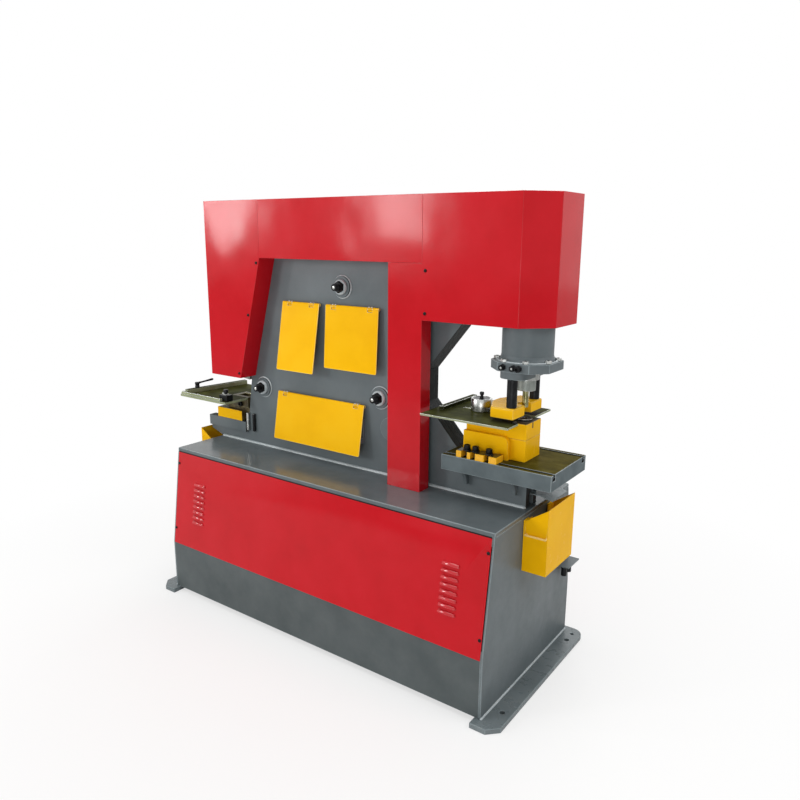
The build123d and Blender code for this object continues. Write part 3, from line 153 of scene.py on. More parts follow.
def duplicate_of(source):
    """A copy of an object with its own mesh, selected alone."""
    bpy.ops.object.select_all(action="DESELECT")
    source.select_set(True)
    bpy.context.view_layer.objects.active = source
    bpy.ops.object.duplicate()
    return bpy.context.object


def select_where(piece, kind, chosen):
    """Goes to edit mode with only those corners or edges selected that a test chooses."""
    bpy.ops.object.mode_set(mode="EDIT")
    bpy.ops.mesh.select_mode(type=kind)
    bpy.ops.mesh.select_all(action="DESELECT")
    bpy.ops.object.mode_set(mode="OBJECT")
    for part in (piece.data.vertices if kind == "VERT" else piece.data.edges):
        part.select = chosen(part)
    bpy.ops.object.mode_set(mode="EDIT")


millimetre = 0.001
tenth = 0.1 * millimetre
merge_distance = 0.02 * millimetre
seam_gap = 3 * merge_distance
sharp_angle = math.radians(35)


def rounded_copy(node, finishes, radius=0.002, seam=None, corners=None):
    """The node's own form with its outer edges rounded; those edges take the last finish.
    Two solids that are stacked at the height of a seam are kept apart there, and the two lower
    corners of a sheet can be rounded off."""
    source = frame["nodes"][node]
    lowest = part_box(node)[0].z
    piece = duplicate_of(source)
    piece.name = "rounded_" + node
    del piece["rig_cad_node"]
    piece.data.materials.clear()
    for finish in finishes:
        piece.data.materials.append(finish)
    if seam:
        upper = [face for face in piece.data.polygons if (face.center - face.normal * tenth).z > seam]
        for corner in {corner for face in upper for corner in face.vertices}:
            piece.data.vertices[corner].co.z += seam_gap
    bpy.ops.object.mode_set(mode="EDIT")
    bpy.ops.mesh.customdata_custom_splitnormals_clear()
    bpy.ops.mesh.select_all(action="SELECT")
    bpy.ops.mesh.remove_doubles(threshold=merge_distance)
    bpy.ops.mesh.dissolve_limited(angle_limit=math.radians(0.5))

    def through_a_lower_corner(edge):
        first, last = [piece.data.vertices[k].co for k in edge.vertices]
        return abs(first.x - last.x) < tenth and max(first.z, last.z) < lowest + corners

    if corners:
        select_where(piece, "EDGE", through_a_lower_corner)
        bpy.ops.mesh.bevel(offset=corners, segments=6, affect="EDGES")
    bpy.ops.object.mode_set(mode="OBJECT")
    form = bmesh.new()
    form.from_mesh(piece.data)
    outer = form.edges.layers.float.new("bevel_weight_edge")
    for edge in form.edges:
        if edge.is_manifold and edge.is_convex and edge.calc_face_angle() > sharp_angle:
            edge[outer] = 1.0
    form.to_mesh(piece.data)
    form.free()
    bevel = piece.modifiers.new("rounding", "BEVEL")
    bevel.width = radius
    bevel.segments = 2
    bevel.limit_method = "WEIGHT"
    bevel.use_clamp_overlap = False
    bevel.material = len(finishes) - 1
    bpy.ops.object.modifier_apply(modifier=bevel.name)
    bpy.ops.object.shade_smooth_by_angle(angle=sharp_angle)
    flat = piece.modifiers.new("flat_faces", "WEIGHTED_NORMAL")
    flat.keep_sharp = True
    bpy.ops.object.modifier_apply(modifier=flat.name)
    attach(piece, source["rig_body"])
    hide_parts(node)
    return piece


rounded_copy("base_top", (top_enamel, grey_edge_highlight), radius=0.003)
for node in ("base_end_left", "base_end_right"):
    rounded_copy(node, (grey_enamel, grey_edge_highlight), radius=0.003)
rounded_copy("base_tray", (dusty_and_shaded_enamel, grey_edge_highlight), radius=0.003)

# Foot plates: flame-cut plate under each end, welded on and drilled for floor anchors.
# The weld is a hand-laid fillet of overlapping drops, painted over with the base.
# The paint runs wet and glossy over the drops, and the beads are painted pale as a highlight.
# The foot plates are painted paler than the base, as a painted reflection of the pale floor.
foot_enamel_painted_pale = enamel("glossy_grey_enamel_painted_pale_as_floor_reflection", ("#626B6E", "#6D7679", "#7A8386"),
                     roughness=0.24, dulling=0.12, wave=0.003, shine=0.5)
weld_highlight_paint = enamel("grey_enamel_painted_pale_as_highlight_on_weld_beads", ("#A4AFB2", "#BAC3C6", "#D2D9DA"),
                    roughness=0.12, dulling=0.06, wave=0.001, shine=0.7)
rounded_copy("foot_plates", (foot_enamel_painted_pale, grey_edge_highlight), radius=0.0025)
drop_spacing = 0.9  # in radii of a drop
drop_unevenness = 0.0006


def weld_drop(name, place, radius):
    """The first drop of weld metal of a run."""
    bpy.ops.object.select_all(action="DESELECT")
    bpy.ops.mesh.primitive_uv_sphere_add(segments=10, ring_count=6, radius=radius, location=place)
    drop = bpy.context.object
    drop.name = name
    return drop


def finish_weld(bead):
    """Makes a row of drops uneven and smooth, paints it and welds it to the base."""
    bpy.ops.object.transform_apply(location=True, rotation=True, scale=True)
    bpy.ops.object.mode_set(mode="EDIT")
    bpy.ops.mesh.select_all(action="SELECT")
    bpy.ops.transform.vertex_random(offset=drop_unevenness, seed=4)
    bpy.ops.object.mode_set(mode="OBJECT")
    bpy.ops.object.shade_smooth()
    bead.data.materials.append(weld_highlight_paint)
    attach(bead, "base")


def weld_run(name, start, end, radius):
    """A straight fillet weld: drops of weld metal laid one on the next, a little uneven."""
    bead = weld_drop(name, start, radius)
    run = Vector(end) - Vector(start)
    drops = max(2, round(run.length / (drop_spacing * radius)))
    row = bead.modifiers.new("row", "ARRAY")
    row.count = drops
    row.use_relative_offset = False
    row.use_constant_offset = True
    row.constant_offset_displace = run / (drops - 1)
    bpy.ops.object.modifier_apply(modifier=row.name)
    finish_weld(bead)


foot_weld = 0.006
base_low, base_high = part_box("base_end_right")
for hand, side in (("left", -1), ("right", 1)):
    foot_x = side * base_high.x
    weld_run("foot_weld_" + hand, (foot_x, base_low.y + foot_weld, base_low.z),
             (foot_x, base_high.y - foot_weld, base_low.z), foot_weld)

# Access panels: thin sheet with two columns of pressed louvres, sprayed gloss red.
# They are screwed to the base with black button-head screws along their ends.
# No light reaches the seam under the base top, so the upper edge shows as a dark line.
red_enamel = enamel("red_gloss_enamel", ("#BB0C18", "#C20F1C", "#C71422"),
                    roughness=0.12, dulling=0.04, wave=0.006)
# The red on the rounded edges is painted paler, as a painted highlight.
red_edge_highlight = enamel("red_enamel_painted_paler_on_edges_as_highlight", ("#B41C22", "#C02A30", "#CC464C"),
                  roughness=0.12, dulling=0.04, wave=0.001)
unlit_red = enamel("red_enamel_in_the_dark", ("#120304", "#1A0506", "#220709"),
                   roughness=0.6, dulling=0.1, wave=0.001)


def second_finish(piece, chosen):
    """Gives the piece's second finish to the faces that a test chooses."""
    for face in piece.data.polygons:
        if chosen(face):
            face.material_index = 1


seam_depth = 0.0045
panel_low, panel_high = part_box("front_panel")
seam_foot = panel_high.z - seam_depth
for node in ("front_panel", "rear_panel"):
    panel = rounded_copy(node, (red_enamel, unlit_red, red_edge_highlight), radius=0.0009)
    bpy.ops.object.mode_set(mode="EDIT")
    bpy.ops.mesh.select_all(action="SELECT")
    bpy.ops.mesh.bisect(plane_co=(0, 0, seam_foot), plane_no=(0, 0, 1))
    bpy.ops.object.mode_set(mode="OBJECT")
    second_finish(panel, lambda face: face.center.z > seam_foot)

# Louvres: pressed out of the panels by a die, eight in a column, round at both ends and open below.
# The rounded lip of each hood is painted paler than the sheet, as a painted highlight.
# The openings are black, because nothing lights the inside of the base.
louvre_red = enamel("red_gloss_enamel_on_louvres", ("#B60A15", "#C20F1C", "#CA1826"),
                    roughness=0.1, dulling=0.03, wave=0.001, shine=0.6)
lip_highlight_red = enamel("red_enamel_painted_pale_as_highlight_on_louvre_lips", ("#D8545A", "#E2686C", "#EC8084"),
                 roughness=0.14, dulling=0.03, wave=0.001, shine=0.4)
hood_half_length = 0.040
hood_round = 0.009
hood_rise = 0.0095
hood_height = 0.0125
lip_rounding = 0.0012
bpy.ops.object.select_all(action="DESELECT")
bpy.ops.mesh.primitive_uv_sphere_add(segments=24, ring_count=16, radius=hood_round)
louvre = bpy.context.object
for side in (-1, 1):
    select_where(louvre, "VERT", lambda corner: side * corner.co.x > tenth)
    bpy.ops.transform.translate(value=(side * (hood_half_length - hood_round), 0, 0))
bpy.ops.mesh.select_all(action="SELECT")
bpy.ops.transform.resize(value=(1, hood_rise / hood_round, hood_height / hood_round))
bpy.ops.mesh.bisect(plane_co=(0, 0, 0), plane_no=(0, 1, 0), clear_outer=True, use_fill=True)
bpy.ops.mesh.select_all(action="SELECT")
bpy.ops.mesh.bisect(plane_co=(0, 0, 0), plane_no=(0, 0, 1), clear_inner=True, use_fill=True)
bpy.ops.mesh.select_all(action="SELECT")
bpy.ops.mesh.normals_make_consistent(inside=False)
bpy.ops.object.mode_set(mode="OBJECT")
bpy.ops.object.shade_smooth_by_angle(angle=math.radians(50))
for finish in (louvre_red, unlit_red, lip_highlight_red):
    louvre.data.materials.append(finish)
facing_down = -0.9
second_finish(louvre, lambda face: face.normal.z < facing_down)


def on_the_lip(edge):
    """Whether an edge runs along the hood's open rim, away from the sheet."""
    ends = [louvre.data.vertices[k].co for k in edge.vertices]
    return all(end.z < tenth for end in ends) and any(end.y < -tenth for end in ends)


select_where(louvre, "EDGE", on_the_lip)
bpy.ops.mesh.bevel(offset=lip_rounding, segments=2, affect="EDGES", material=2)
bpy.ops.object.mode_set(mode="OBJECT")


def copies_at(master, places, axis=(0, 0, 1)):
    """Copies the master to each place with its Z axis along the given axis, and removes it."""
    turn = Vector((0, 0, 1)).rotation_difference(Vector(axis)).to_matrix().to_4x4()
    copies = []
    for place in places:
        copy = duplicate_of(master)
        copy.matrix_world = Matrix.Translation(place) @ turn
        bpy.ops.object.transform_apply(location=True, rotation=True, scale=True)
        copies.append(copy)
    bpy.data.objects.remove(master)
    return copies


def joined(name, pieces, body, nodes=()):
    """Joins pieces to one, which rides on a body and stands for the nodes."""
    bpy.ops.object.select_all(action="DESELECT")
    for piece in pieces:
        piece.select_set(True)
    bpy.context.view_layer.objects.active = pieces[0]
    if len(pieces) > 1:
        bpy.ops.object.join()
    whole = bpy.context.object
    whole.name = name
    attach(whole, body)
    if nodes:
        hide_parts(*nodes)
    return whole


panel_set_back = 0.064
panel_rise = 0.486
louvre_from_left_end = 0.172
louvre_from_right_end = 0.160
louvre_from_top = 0.1495
louvre_pitch = 0.0274
louvre_count = 8
lean = math.atan2(panel_set_back, panel_rise)
uphill = Vector((0, math.sin(lean), math.cos(lean)))
top_louvre = (panel_high.z - panel_low.z) / uphill.z - louvre_from_top
louvre_places = []
for louvre_x in (panel_low.x + louvre_from_left_end, panel_high.x - louvre_from_right_end):
    foot = Vector((louvre_x, panel_low.y, panel_low.z))
    louvre_places += [foot + uphill * (top_louvre - k * louvre_pitch) for k in range(louvre_count)]
front_louvres = joined("front_louvres", copies_at(louvre, louvre_places, uphill), "base")
rear_louvres = duplicate_of(front_louvres)
bpy.ops.object.mode_set(mode="EDIT")
bpy.ops.mesh.select_all(action="SELECT")
bpy.ops.transform.rotate(value=math.pi, orient_axis="Z", center_override=(0, 0, 0))
bpy.ops.object.mode_set(mode="OBJECT")
joined("rear_louvres", [rear_louvres], "base")

# Frame plates: two side plates flame-cut from 30 mm steel and welded upright on the base.
# Their faces are sprayed grey; the cut edges are rougher and painted dark, as flame-cut scale and as the
# shade on them.
# Spacers, gussets and the guides round the openings are welded between and on them.


def cut_plate(material):
    """Grey enamel on the faces; the flame-cut edge all round is ribbed and painted dark, as scale and as
    painted shade.
    """
    texture = add_node(material, "ShaderNodeTexCoord")
    place = texture.outputs["Object"]
    normal = add_node(material, "ShaderNodeSeparateXYZ", links={"Vector": texture.outputs["Normal"]})
    across = add_node(material, "ShaderNodeMath", links={0: normal.outputs["Y"]}, operation="ABSOLUTE")
    face = add_node(material, "ShaderNodeMapRange", {"From Min": 0.3, "From Max": 0.6},
                    {"Value": across.outputs["Value"]})
    drift = add_node(material, "ShaderNodeTexNoise", {"Scale": pattern_scale(210), "Detail": 4.0},
                     {"Vector": place})
    paint = add_node(material, "ShaderNodeValToRGB", links={"Fac": drift.outputs["Fac"]},
                     steps=((0.25, "#5C6568"), (0.5, "#666E71"), (0.8, "#70787B")))
    ribs = add_node(material, "ShaderNodeTexNoise", {"Scale": pattern_scale(14), "Detail": 3.0},
                    {"Vector": place})
    cut = add_node(material, "ShaderNodeValToRGB", links={"Fac": ribs.outputs["Fac"]},
                   steps=((0.3, "#151718"), (0.7, "#26292A")))
    colour = add_node(material, "ShaderNodeMix", data_type="RGBA",
                      links={0: face.outputs["Result"], 6: cut.outputs["Color"], 7: paint.outputs["Color"]})
    gloss = add_node(material, "ShaderNodeMapRange", {"To Min": 0.6, "To Max": 0.38},
                     {"Value": face.outputs["Result"]})
    bump = add_node(material, "ShaderNodeBump", {"Strength": 0.5, "Distance": 0.0012},
                    {"Height": ribs.outputs["Fac"]})
    return {"Base Color": colour.outputs[2], "Roughness": gloss.outputs["Result"],
            "Normal": bump.outputs["Normal"]}


plate_finish = new_material("grey_enamel_with_dark_cut_edges_as_scale_and_shade", {"IOR": 1.5, "Specular IOR Level": 0.2},
                            cut_plate)
for node in ("frame_plate_front", "frame_plate_rear"):
    rounded_copy(node, (plate_finish, plate_finish))
plate_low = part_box("frame_plate_front")[0]
table_low, table_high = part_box("punch_table")
webs = rounded_copy("frame_webs", (plate_finish, grey_enamel, plate_finish))
outside_y = -plate_low.y + millimetre
second_finish(webs, lambda face: abs(face.center.y) > outside_y and face.center.x > table_low.x)
frame_weld = 0.009
frame_weld_inset = 0.012
table_weld = 0.006
table_weld_inset = 0.010
chute_gap = 0.008
weld_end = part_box("slug_chute")[0].x - chute_gap
for hand, face_y in (("front", plate_low.y), ("rear", -plate_low.y)):
    weld_run("frame_weld_" + hand, (-base_high.x + frame_weld_inset, face_y, plate_low.z),
             (weld_end, face_y, plate_low.z), frame_weld)
    weld_run("table_weld_" + hand, (table_low.x + table_weld_inset, face_y, table_low.z),
             (weld_end, face_y, table_low.z), table_weld)
rounded_copy("stock_guides", (grey_enamel, grey_edge_highlight), radius=0.0015)

# Side adjusters: a threaded stud with a lock nut through each plate, which keeps the arm true.
# Stud and nut are black-oxided steel; the stud's end is bright steel, worn by the spanner, and stands for a
# painted highlight too.
# A collar under each nut is painted pale like the weld round it, as a painted highlight.


def steel(name, tones, metallic, roughness, grain):
    """Bare or oxided steel in three tones, deep to worn: blotches of tone as wide as the grain in
    millimetres, a roughness that wanders with them, and fine scratches."""

    def sources(material):
        place = add_node(material, "ShaderNodeTexCoord").outputs["Object"]
        blotch = add_node(material, "ShaderNodeTexNoise",
                          {"Scale": pattern_scale(grain), "Detail": 5.0, "Roughness": 0.6},
                          {"Vector": place})
        colour = add_node(material, "ShaderNodeValToRGB", links={"Fac": blotch.outputs["Fac"]},
                          steps=list(zip((0.3, 0.52, 0.74), tones)))
        gloss = add_node(material, "ShaderNodeMapRange",
                         {"To Min": roughness - 0.1, "To Max": roughness + 0.14},
                         {"Value": blotch.outputs["Fac"]})
        scratch = add_node(material, "ShaderNodeTexNoise", {"Scale": pattern_scale(4), "Detail": 2.0},
                           {"Vector": place})
        bump = add_node(material, "ShaderNodeBump", {"Strength": 0.2, "Distance": 0.0004},
                        {"Height": scratch.outputs["Fac"]})
        return {"Base Color": colour.outputs["Color"], "Roughness": gloss.outputs["Result"],
                "Normal": bump.outputs["Normal"]}

    return new_material(name, {"Metallic": metallic}, sources)


black_oxide = steel("black_oxide_steel", ("#0F1011", "#191A1C", "#2B2C2E"),
                    metallic=0.7, roughness=0.36, grain=22)
bright_steel = steel("bright_turned_steel", ("#A2A4A2", "#B4B6B3", "#C4C5C2"),
                     metallic=1.0, roughness=0.26, grain=30)


def turned(profile, finish, segments):
    """A round or many-sided piece drawn up the Z axis from (radius, height) pairs."""
    radius, height = profile[0]
    bpy.ops.object.select_all(action="DESELECT")
    bpy.ops.mesh.primitive_circle_add(vertices=segments, radius=radius, fill_type="NGON",
                                      location=(0, 0, height))
    piece = bpy.context.object
    bpy.ops.object.mode_set(mode="EDIT")
    bpy.ops.mesh.select_all(action="SELECT")
    for (r0, z0), (r1, z1) in zip(profile, profile[1:]):
        bpy.ops.mesh.extrude_region_move(TRANSFORM_OT_translate={"value": (0, 0, z1 - z0)})
        bpy.ops.transform.resize(value=(r1 / r0, r1 / r0, 1), center_override=(0, 0, z1))
    bpy.ops.mesh.select_all(action="SELECT")
    bpy.ops.mesh.normals_make_consistent(inside=False)
    bpy.ops.object.mode_set(mode="OBJECT")
    bpy.ops.object.transform_apply(location=True, rotation=True, scale=True)
    bpy.ops.object.shade_smooth_by_angle(angle=math.radians(40))
    piece.data.materials.append(finish)
    return piece


def solid_boxes(node):
    """The lowest and highest corner of each separate solid of a node."""
    duplicate_of(frame["nodes"][node])
    bpy.ops.object.mode_set(mode="EDIT")
    bpy.ops.mesh.select_all(action="SELECT")
    bpy.ops.mesh.remove_doubles(threshold=merge_distance)
    bpy.ops.mesh.separate(type="LOOSE")
    bpy.ops.object.mode_set(mode="OBJECT")
    boxes = []
    for piece in bpy.context.selected_objects:
        corners = [vertex.co for vertex in piece.data.vertices]
        low = Vector(min(c[k] for c in corners) for k in range(3))
        high = Vector(max(c[k] for c in corners) for k in range(3))
        boxes.append((low, high))
    bpy.ops.object.delete()
    return boxes


def foot_of(box, axis):
    """The middle of the end of a box from which the axis runs through it."""
    low, high = box
    half = (high - low) / 2
    return (low + high) / 2 - Vector(axis) * abs(half.dot(Vector(axis)))


def thread(radius, end, pitch):
    """The outline of a screw thread from the foot to a height, with a chamfered tip."""
    root = 0.88 * radius
    outline = [(radius, 0)]
    for k in range(int((end - pitch) / pitch)):
        outline.append((radius, (k + 0.35) * pitch))
        outline.append((root, (k + 0.6) * pitch))
        outline.append((root, (k + 0.75) * pitch))
        outline.append((radius, (k + 1) * pitch))
    outline.append((radius, end - pitch / 2))
    outline.append((0.8 * radius, end))
    return outline


longest_nut = 0.05
thread_pitch = 0.004
nut_chamfer = 0.003
tip_depth = 0.003
tip_stand = 0.0015
collar_profile = [(0.0325, 0), (0.034, 0.0015), (0.034, 0.009), (0.0315, 0.012)]
adjuster_boxes = solid_boxes("side_adjusters")
stud_boxes = [(low, high) for low, high in adjuster_boxes if high.y - low.y > longest_nut]
nut_boxes = [(low, high) for low, high in adjuster_boxes if high.y - low.y < longest_nut]
adjuster_pieces = []
for side in (-1, 1):
    outward = (0, side, 0)
    studs = [box for box in stud_boxes if side * box[0].y > 0]
    nuts = [box for box in nut_boxes if side * box[0].y > 0]
    stud_feet = [foot_of(box, outward) for box in studs]
    nut_seats = [foot_of(box, outward) for box in nuts]
    stud_size = studs[0][1] - studs[0][0]
    nut_size = nuts[0][1] - nuts[0][0]
    stud_radius = stud_size.x / 2
    nut_radius = nut_size.x / 2
    tip_profile = [(0.5 * stud_radius, stud_size.y - tip_depth), (0.5 * stud_radius, stud_size.y),
                   (0.3 * stud_radius, stud_size.y + tip_stand)]
    nut_profile = [(0.9 * nut_radius, 0), (nut_radius, nut_chamfer), (nut_radius, nut_size.y - nut_chamfer),
                   (0.9 * nut_radius, nut_size.y)]
    stud = turned(thread(stud_radius, stud_size.y, thread_pitch), black_oxide, segments=24)
    adjuster_pieces += copies_at(stud, stud_feet, outward)
    adjuster_pieces += copies_at(turned(tip_profile, bright_steel, segments=20), stud_feet, outward)
    adjuster_pieces += copies_at(turned(nut_profile, black_oxide, segments=6), nut_seats, outward)
    adjuster_pieces += copies_at(turned(collar_profile, weld_highlight_paint, segments=40), nut_seats, outward)
joined("side_adjuster_set", adjuster_pieces, "base", ["side_adjusters"])

# Adjuster bosses: a steel disc on the plate carries each adjuster and its nut.
# It is held by a fillet weld all round, laid by hand and painted over with the plate; the bead is drawn
# paler, as a painted highlight.


def weld_ring(name, centre, axis, ring_radius, radius):
    """A fillet weld round a disc or a tube: one drop spun into a ring of drops."""
    start = Vector(axis).orthogonal().normalized() * ring_radius + Vector(centre)
    bead = weld_drop(name, start, radius)
    bpy.ops.object.transform_apply(location=True, rotation=True, scale=True)
    drops = round(2 * math.pi * ring_radius / (drop_spacing * radius))
    bpy.ops.object.mode_set(mode="EDIT")
    bpy.ops.mesh.select_all(action="SELECT")
    bpy.ops.mesh.spin(steps=drops, dupli=True, angle=2 * math.pi, center=centre, axis=axis)
    bpy.ops.object.mode_set(mode="OBJECT")
    finish_weld(bead)


boss_radius = 0.0485
boss_weld = 0.0045
for k, (low, high) in enumerate(nut_boxes):
    face_y = math.copysign(plate_low.y, low.y)
    weld_ring(f"boss_weld_{k}", ((low.x + high.x) / 2, face_y, (low.z + high.z) / 2), (0, 1, 0),
              boss_radius, boss_weld)

# Punching table: a thick steel block on the right jaw, ground on top and kept under oil.
# Its sides are painted grey, and a slot for clamping bolts runs along each long edge.
# Slugs from the punch fall through it into a grey chute.


def oiled_top_with_painted_reflection(name, tones, side_tones, streak, die=None):
    """Ground steel under a film of oil on upward faces, another tone on the sides. The olive of the top is
    partly the oil and partly a painted reflection of the yellow paint near it.
    The grinding lines are 0.3 mm apart; they are drawn as streaks of a few mm, or they would not show.
    Round the die, where there is one, the top is painted dark, as black oil and scale and as the shadow
    under the stripper."""

    def sources(material):
        texture = add_node(material, "ShaderNodeTexCoord")
        normal = add_node(material, "ShaderNodeSeparateXYZ", links={"Vector": texture.outputs["Normal"]})
        up = add_node(material, "ShaderNodeMapRange", {"From Min": 0.5, "From Max": 0.8},
                      {"Value": normal.outputs["Z"]})
        along = add_node(material, "ShaderNodeMapping", {"Scale": (0.06, 1.0, 1.0)},
                         {"Vector": texture.outputs["Object"]})
        lines = add_node(material, "ShaderNodeTexNoise", {"Scale": pattern_scale(streak), "Detail": 3.0},
                         {"Vector": along.outputs["Vector"]})
        film = add_node(material, "ShaderNodeTexNoise", {"Scale": pattern_scale(70), "Detail": 4.0},
                        {"Vector": texture.outputs["Object"]})
        both = add_node(material, "ShaderNodeMath", {1: 0.5},
                        {0: lines.outputs["Fac"], 2: film.outputs["Fac"]}, operation="MULTIPLY_ADD")
        ground = add_node(material, "ShaderNodeValToRGB", links={"Fac": both.outputs["Value"]},
                          steps=list(zip((0.5, 0.75, 1.0), tones)))
        top = ground.outputs["Color"]
        if die:
            from_die = add_node(material, "ShaderNodeMapping",
                                {"Location": (-die.x, -die.y, 0), "Scale": (1, 1, 0)},
                                {"Vector": texture.outputs["Object"]})
            distance = add_node(material, "ShaderNodeVectorMath", links={0: from_die.outputs["Vector"]},
                                operation="LENGTH")
            ragged = add_node(material, "ShaderNodeMath", {1: 0.08},
                              {0: film.outputs["Fac"], 2: distance.outputs["Value"]},
                              operation="MULTIPLY_ADD")
            clean = add_node(material, "ShaderNodeMapRange", {"From Min": 0.12, "From Max": 0.2},
                             {"Value": ragged.outputs["Value"]})
            # Painted dark round the die: oil and scale, and the shadow under the stripper.
            stain_and_shadow_top = add_node(material, "ShaderNodeMix", {6: linear("#1C140A")},
                                   {0: clean.outputs["Result"], 7: top}, data_type="RGBA")
            top = stain_and_shadow_top.outputs[2]
        side = add_node(material, "ShaderNodeValToRGB", links={"Fac": film.outputs["Fac"]},
                        steps=list(zip((0.3, 0.7), side_tones)))
        colour = add_node(material, "ShaderNodeMix", data_type="RGBA",
                          links={0: up.outputs["Result"], 6: side.outputs["Color"], 7: top})
        gloss = add_node(material, "ShaderNodeMapRange", {"To Min": 0.2, "To Max": 0.42},
                         {"Value": film.outputs["Fac"]})
        bump = add_node(material, "ShaderNodeBump", {"Strength": 0.15, "Distance": 0.0003},
                        {"Height": lines.outputs["Fac"]})
        return {"Base Color": colour.outputs[2], "Roughness": gloss.outputs["Result"],
                "Normal": bump.outputs["Normal"]}

    return new_material(name, {"IOR": 1.47, "Specular IOR Level": 0.004}, sources)


# The olive top tones are partly oil and partly a painted reflection of the yellow bolster.
table_finish = oiled_top_with_painted_reflection("oiled_ground_table", ("#3C3610", "#4B4416", "#5E5728"),
                         ("#5C6568", "#6B7578"), streak=5)
oil_black = steel("oil_blackened_steel", ("#0D0C0A", "#17140F", "#2A2419"),
                  metallic=0.2, roughness=0.5, grain=14)
table_rounding = 0.002
table = rounded_copy("punch_table", (table_finish, oil_black, grey_edge_highlight),
                     radius=table_rounding)


def in_a_slot(face):
    """Whether a face lies inside the table's outline, as the walls of its slots do."""
    depth = min(min(face.center[k] - table_low[k], table_high[k] - face.center[k]) for k in range(3))
    return face.material_index == 0 and depth > table_rounding


# The walls of the slots are painted black, as oil and as the shade inside them.
second_finish(table, in_a_slot)
# The chute is painted all over in the paler edge grey, as a painted reflection on its sheet.
rounded_copy("slug_chute", (grey_edge_highlight, grey_edge_highlight), radius=0.001)

# Die bolster: two stacked blocks with a rounded apron in front, painted gloss yellow.
# The die sits in a bore in the top, and a small dark key shows in the right side.
# The clamps hold the bolster down with screws into the front slot.
yellow_tones = ("#F2B408", "#F8BC0E", "#FAC21A")
yellow_enamel = enamel("yellow_gloss_enamel", yellow_tones,
                       roughness=0.22, dulling=0.08, wave=0.003, shine=0.03)
# On the rounded edges the yellow is mostly a little darker and oranger, as painted shade, and paler in
# patches, as a painted highlight.
yellow_edge_shade_and_highlight = enamel("yellow_enamel_on_edges_with_painted_shade_and_highlight", ("#D8A014", "#ECB422", "#F8D464"),
                     roughness=0.2, dulling=0.06, wave=0.001, shine=0.1)
lower_block = 0.087
bolster_low, bolster_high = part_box("die_bolster")
bolster = rounded_copy("die_bolster", (yellow_enamel, oil_black, yellow_edge_shade_and_highlight),
                       radius=0.0025, seam=bolster_low.z + lower_block)
second_finish(bolster, lambda face: face.center.z > bolster_high.z - millimetre)


def bevelled_block(place, size, finish, rounding):
    """A small block about a place, with its edges bevelled."""
    bpy.ops.object.select_all(action="DESELECT")
    bpy.ops.mesh.primitive_cube_add(size=1, location=place)
    block = bpy.context.object
    bpy.ops.object.mode_set(mode="EDIT")
    bpy.ops.transform.resize(value=size, center_override=place)
    bpy.ops.mesh.bevel(offset=rounding, segments=2, affect="EDGES")
    bpy.ops.object.mode_set(mode="OBJECT")
    bpy.ops.object.transform_apply(location=True, rotation=True, scale=True)
    block.data.materials.append(finish)
    return block


key_size = (0.004, 0.008, 0.023)
key_inset = 0.001
key_y = -0.018
key_drop = 0.0125
key_place = (bolster_high.x - key_inset, key_y, bolster_high.z - key_drop)
die_key = bevelled_block(key_place, key_size, oil_black, rounding=0.0008)
joined("die_key", [die_key], "base")
rounded_copy("punch_die", (oil_black, bright_steel), radius=0.0015)


def bare_top(material):
    """Yellow enamel on the sides; the top has lost its paint and shows dark oiled steel."""
    texture = add_node(material, "ShaderNodeTexCoord")
    normal = add_node(material, "ShaderNodeSeparateXYZ", links={"Vector": texture.outputs["Normal"]})
    wear = add_node(material, "ShaderNodeTexNoise", {"Scale": pattern_scale(12), "Detail": 4.0},
                    {"Vector": texture.outputs["Object"]})
    edge = add_node(material, "ShaderNodeMath", {1: 0.5},
                    {0: wear.outputs["Fac"], 2: normal.outputs["Z"]}, operation="MULTIPLY_ADD")
    colour = add_node(material, "ShaderNodeValToRGB", links={"Fac": edge.outputs["Value"]},
                      steps=((0.25, "#EEB01B"), (0.6, "#D39A1E"), (0.75, "#2E2818"), (1.0, "#24211A")))
    return {"Base Color": colour.outputs["Color"]}


clamp_finish = new_material("yellow_enamel_with_bare_top", {"Roughness": 0.32, "IOR": 1.5}, bare_top)
rounded_copy("bolster_clamps", (clamp_finish, yellow_edge_shade_and_highlight), radius=0.0015)
bolt_head = 0.018
washer_thickness = 0.005
bolt_boxes = solid_boxes("clamp_bolts")
bolt_top = bolt_boxes[0][1].z - bolt_boxes[0][0].z
washer_top = bolt_top - bolt_head
washer_foot = washer_top - washer_thickness
bolt_profile = [
    (0.006, 0), (0.006, washer_foot), (0.0165, washer_foot), (0.017, washer_foot + 0.0008),
    (0.017, washer_top - 0.0008), (0.0165, washer_top), (0.0122, washer_top), (0.013, washer_top + 0.001),
    (0.013, bolt_top - 0.0015), (0.0115, bolt_top), (0.0075, bolt_top), (0.007, bolt_top - 0.008)]
bolt_feet = [foot_of(box, (0, 0, 1)) for box in bolt_boxes]
clamp_bolts = copies_at(turned(bolt_profile, black_oxide, segments=24), bolt_feet)
joined("clamp_bolt_set", clamp_bolts, "base", ["clamp_bolts"])

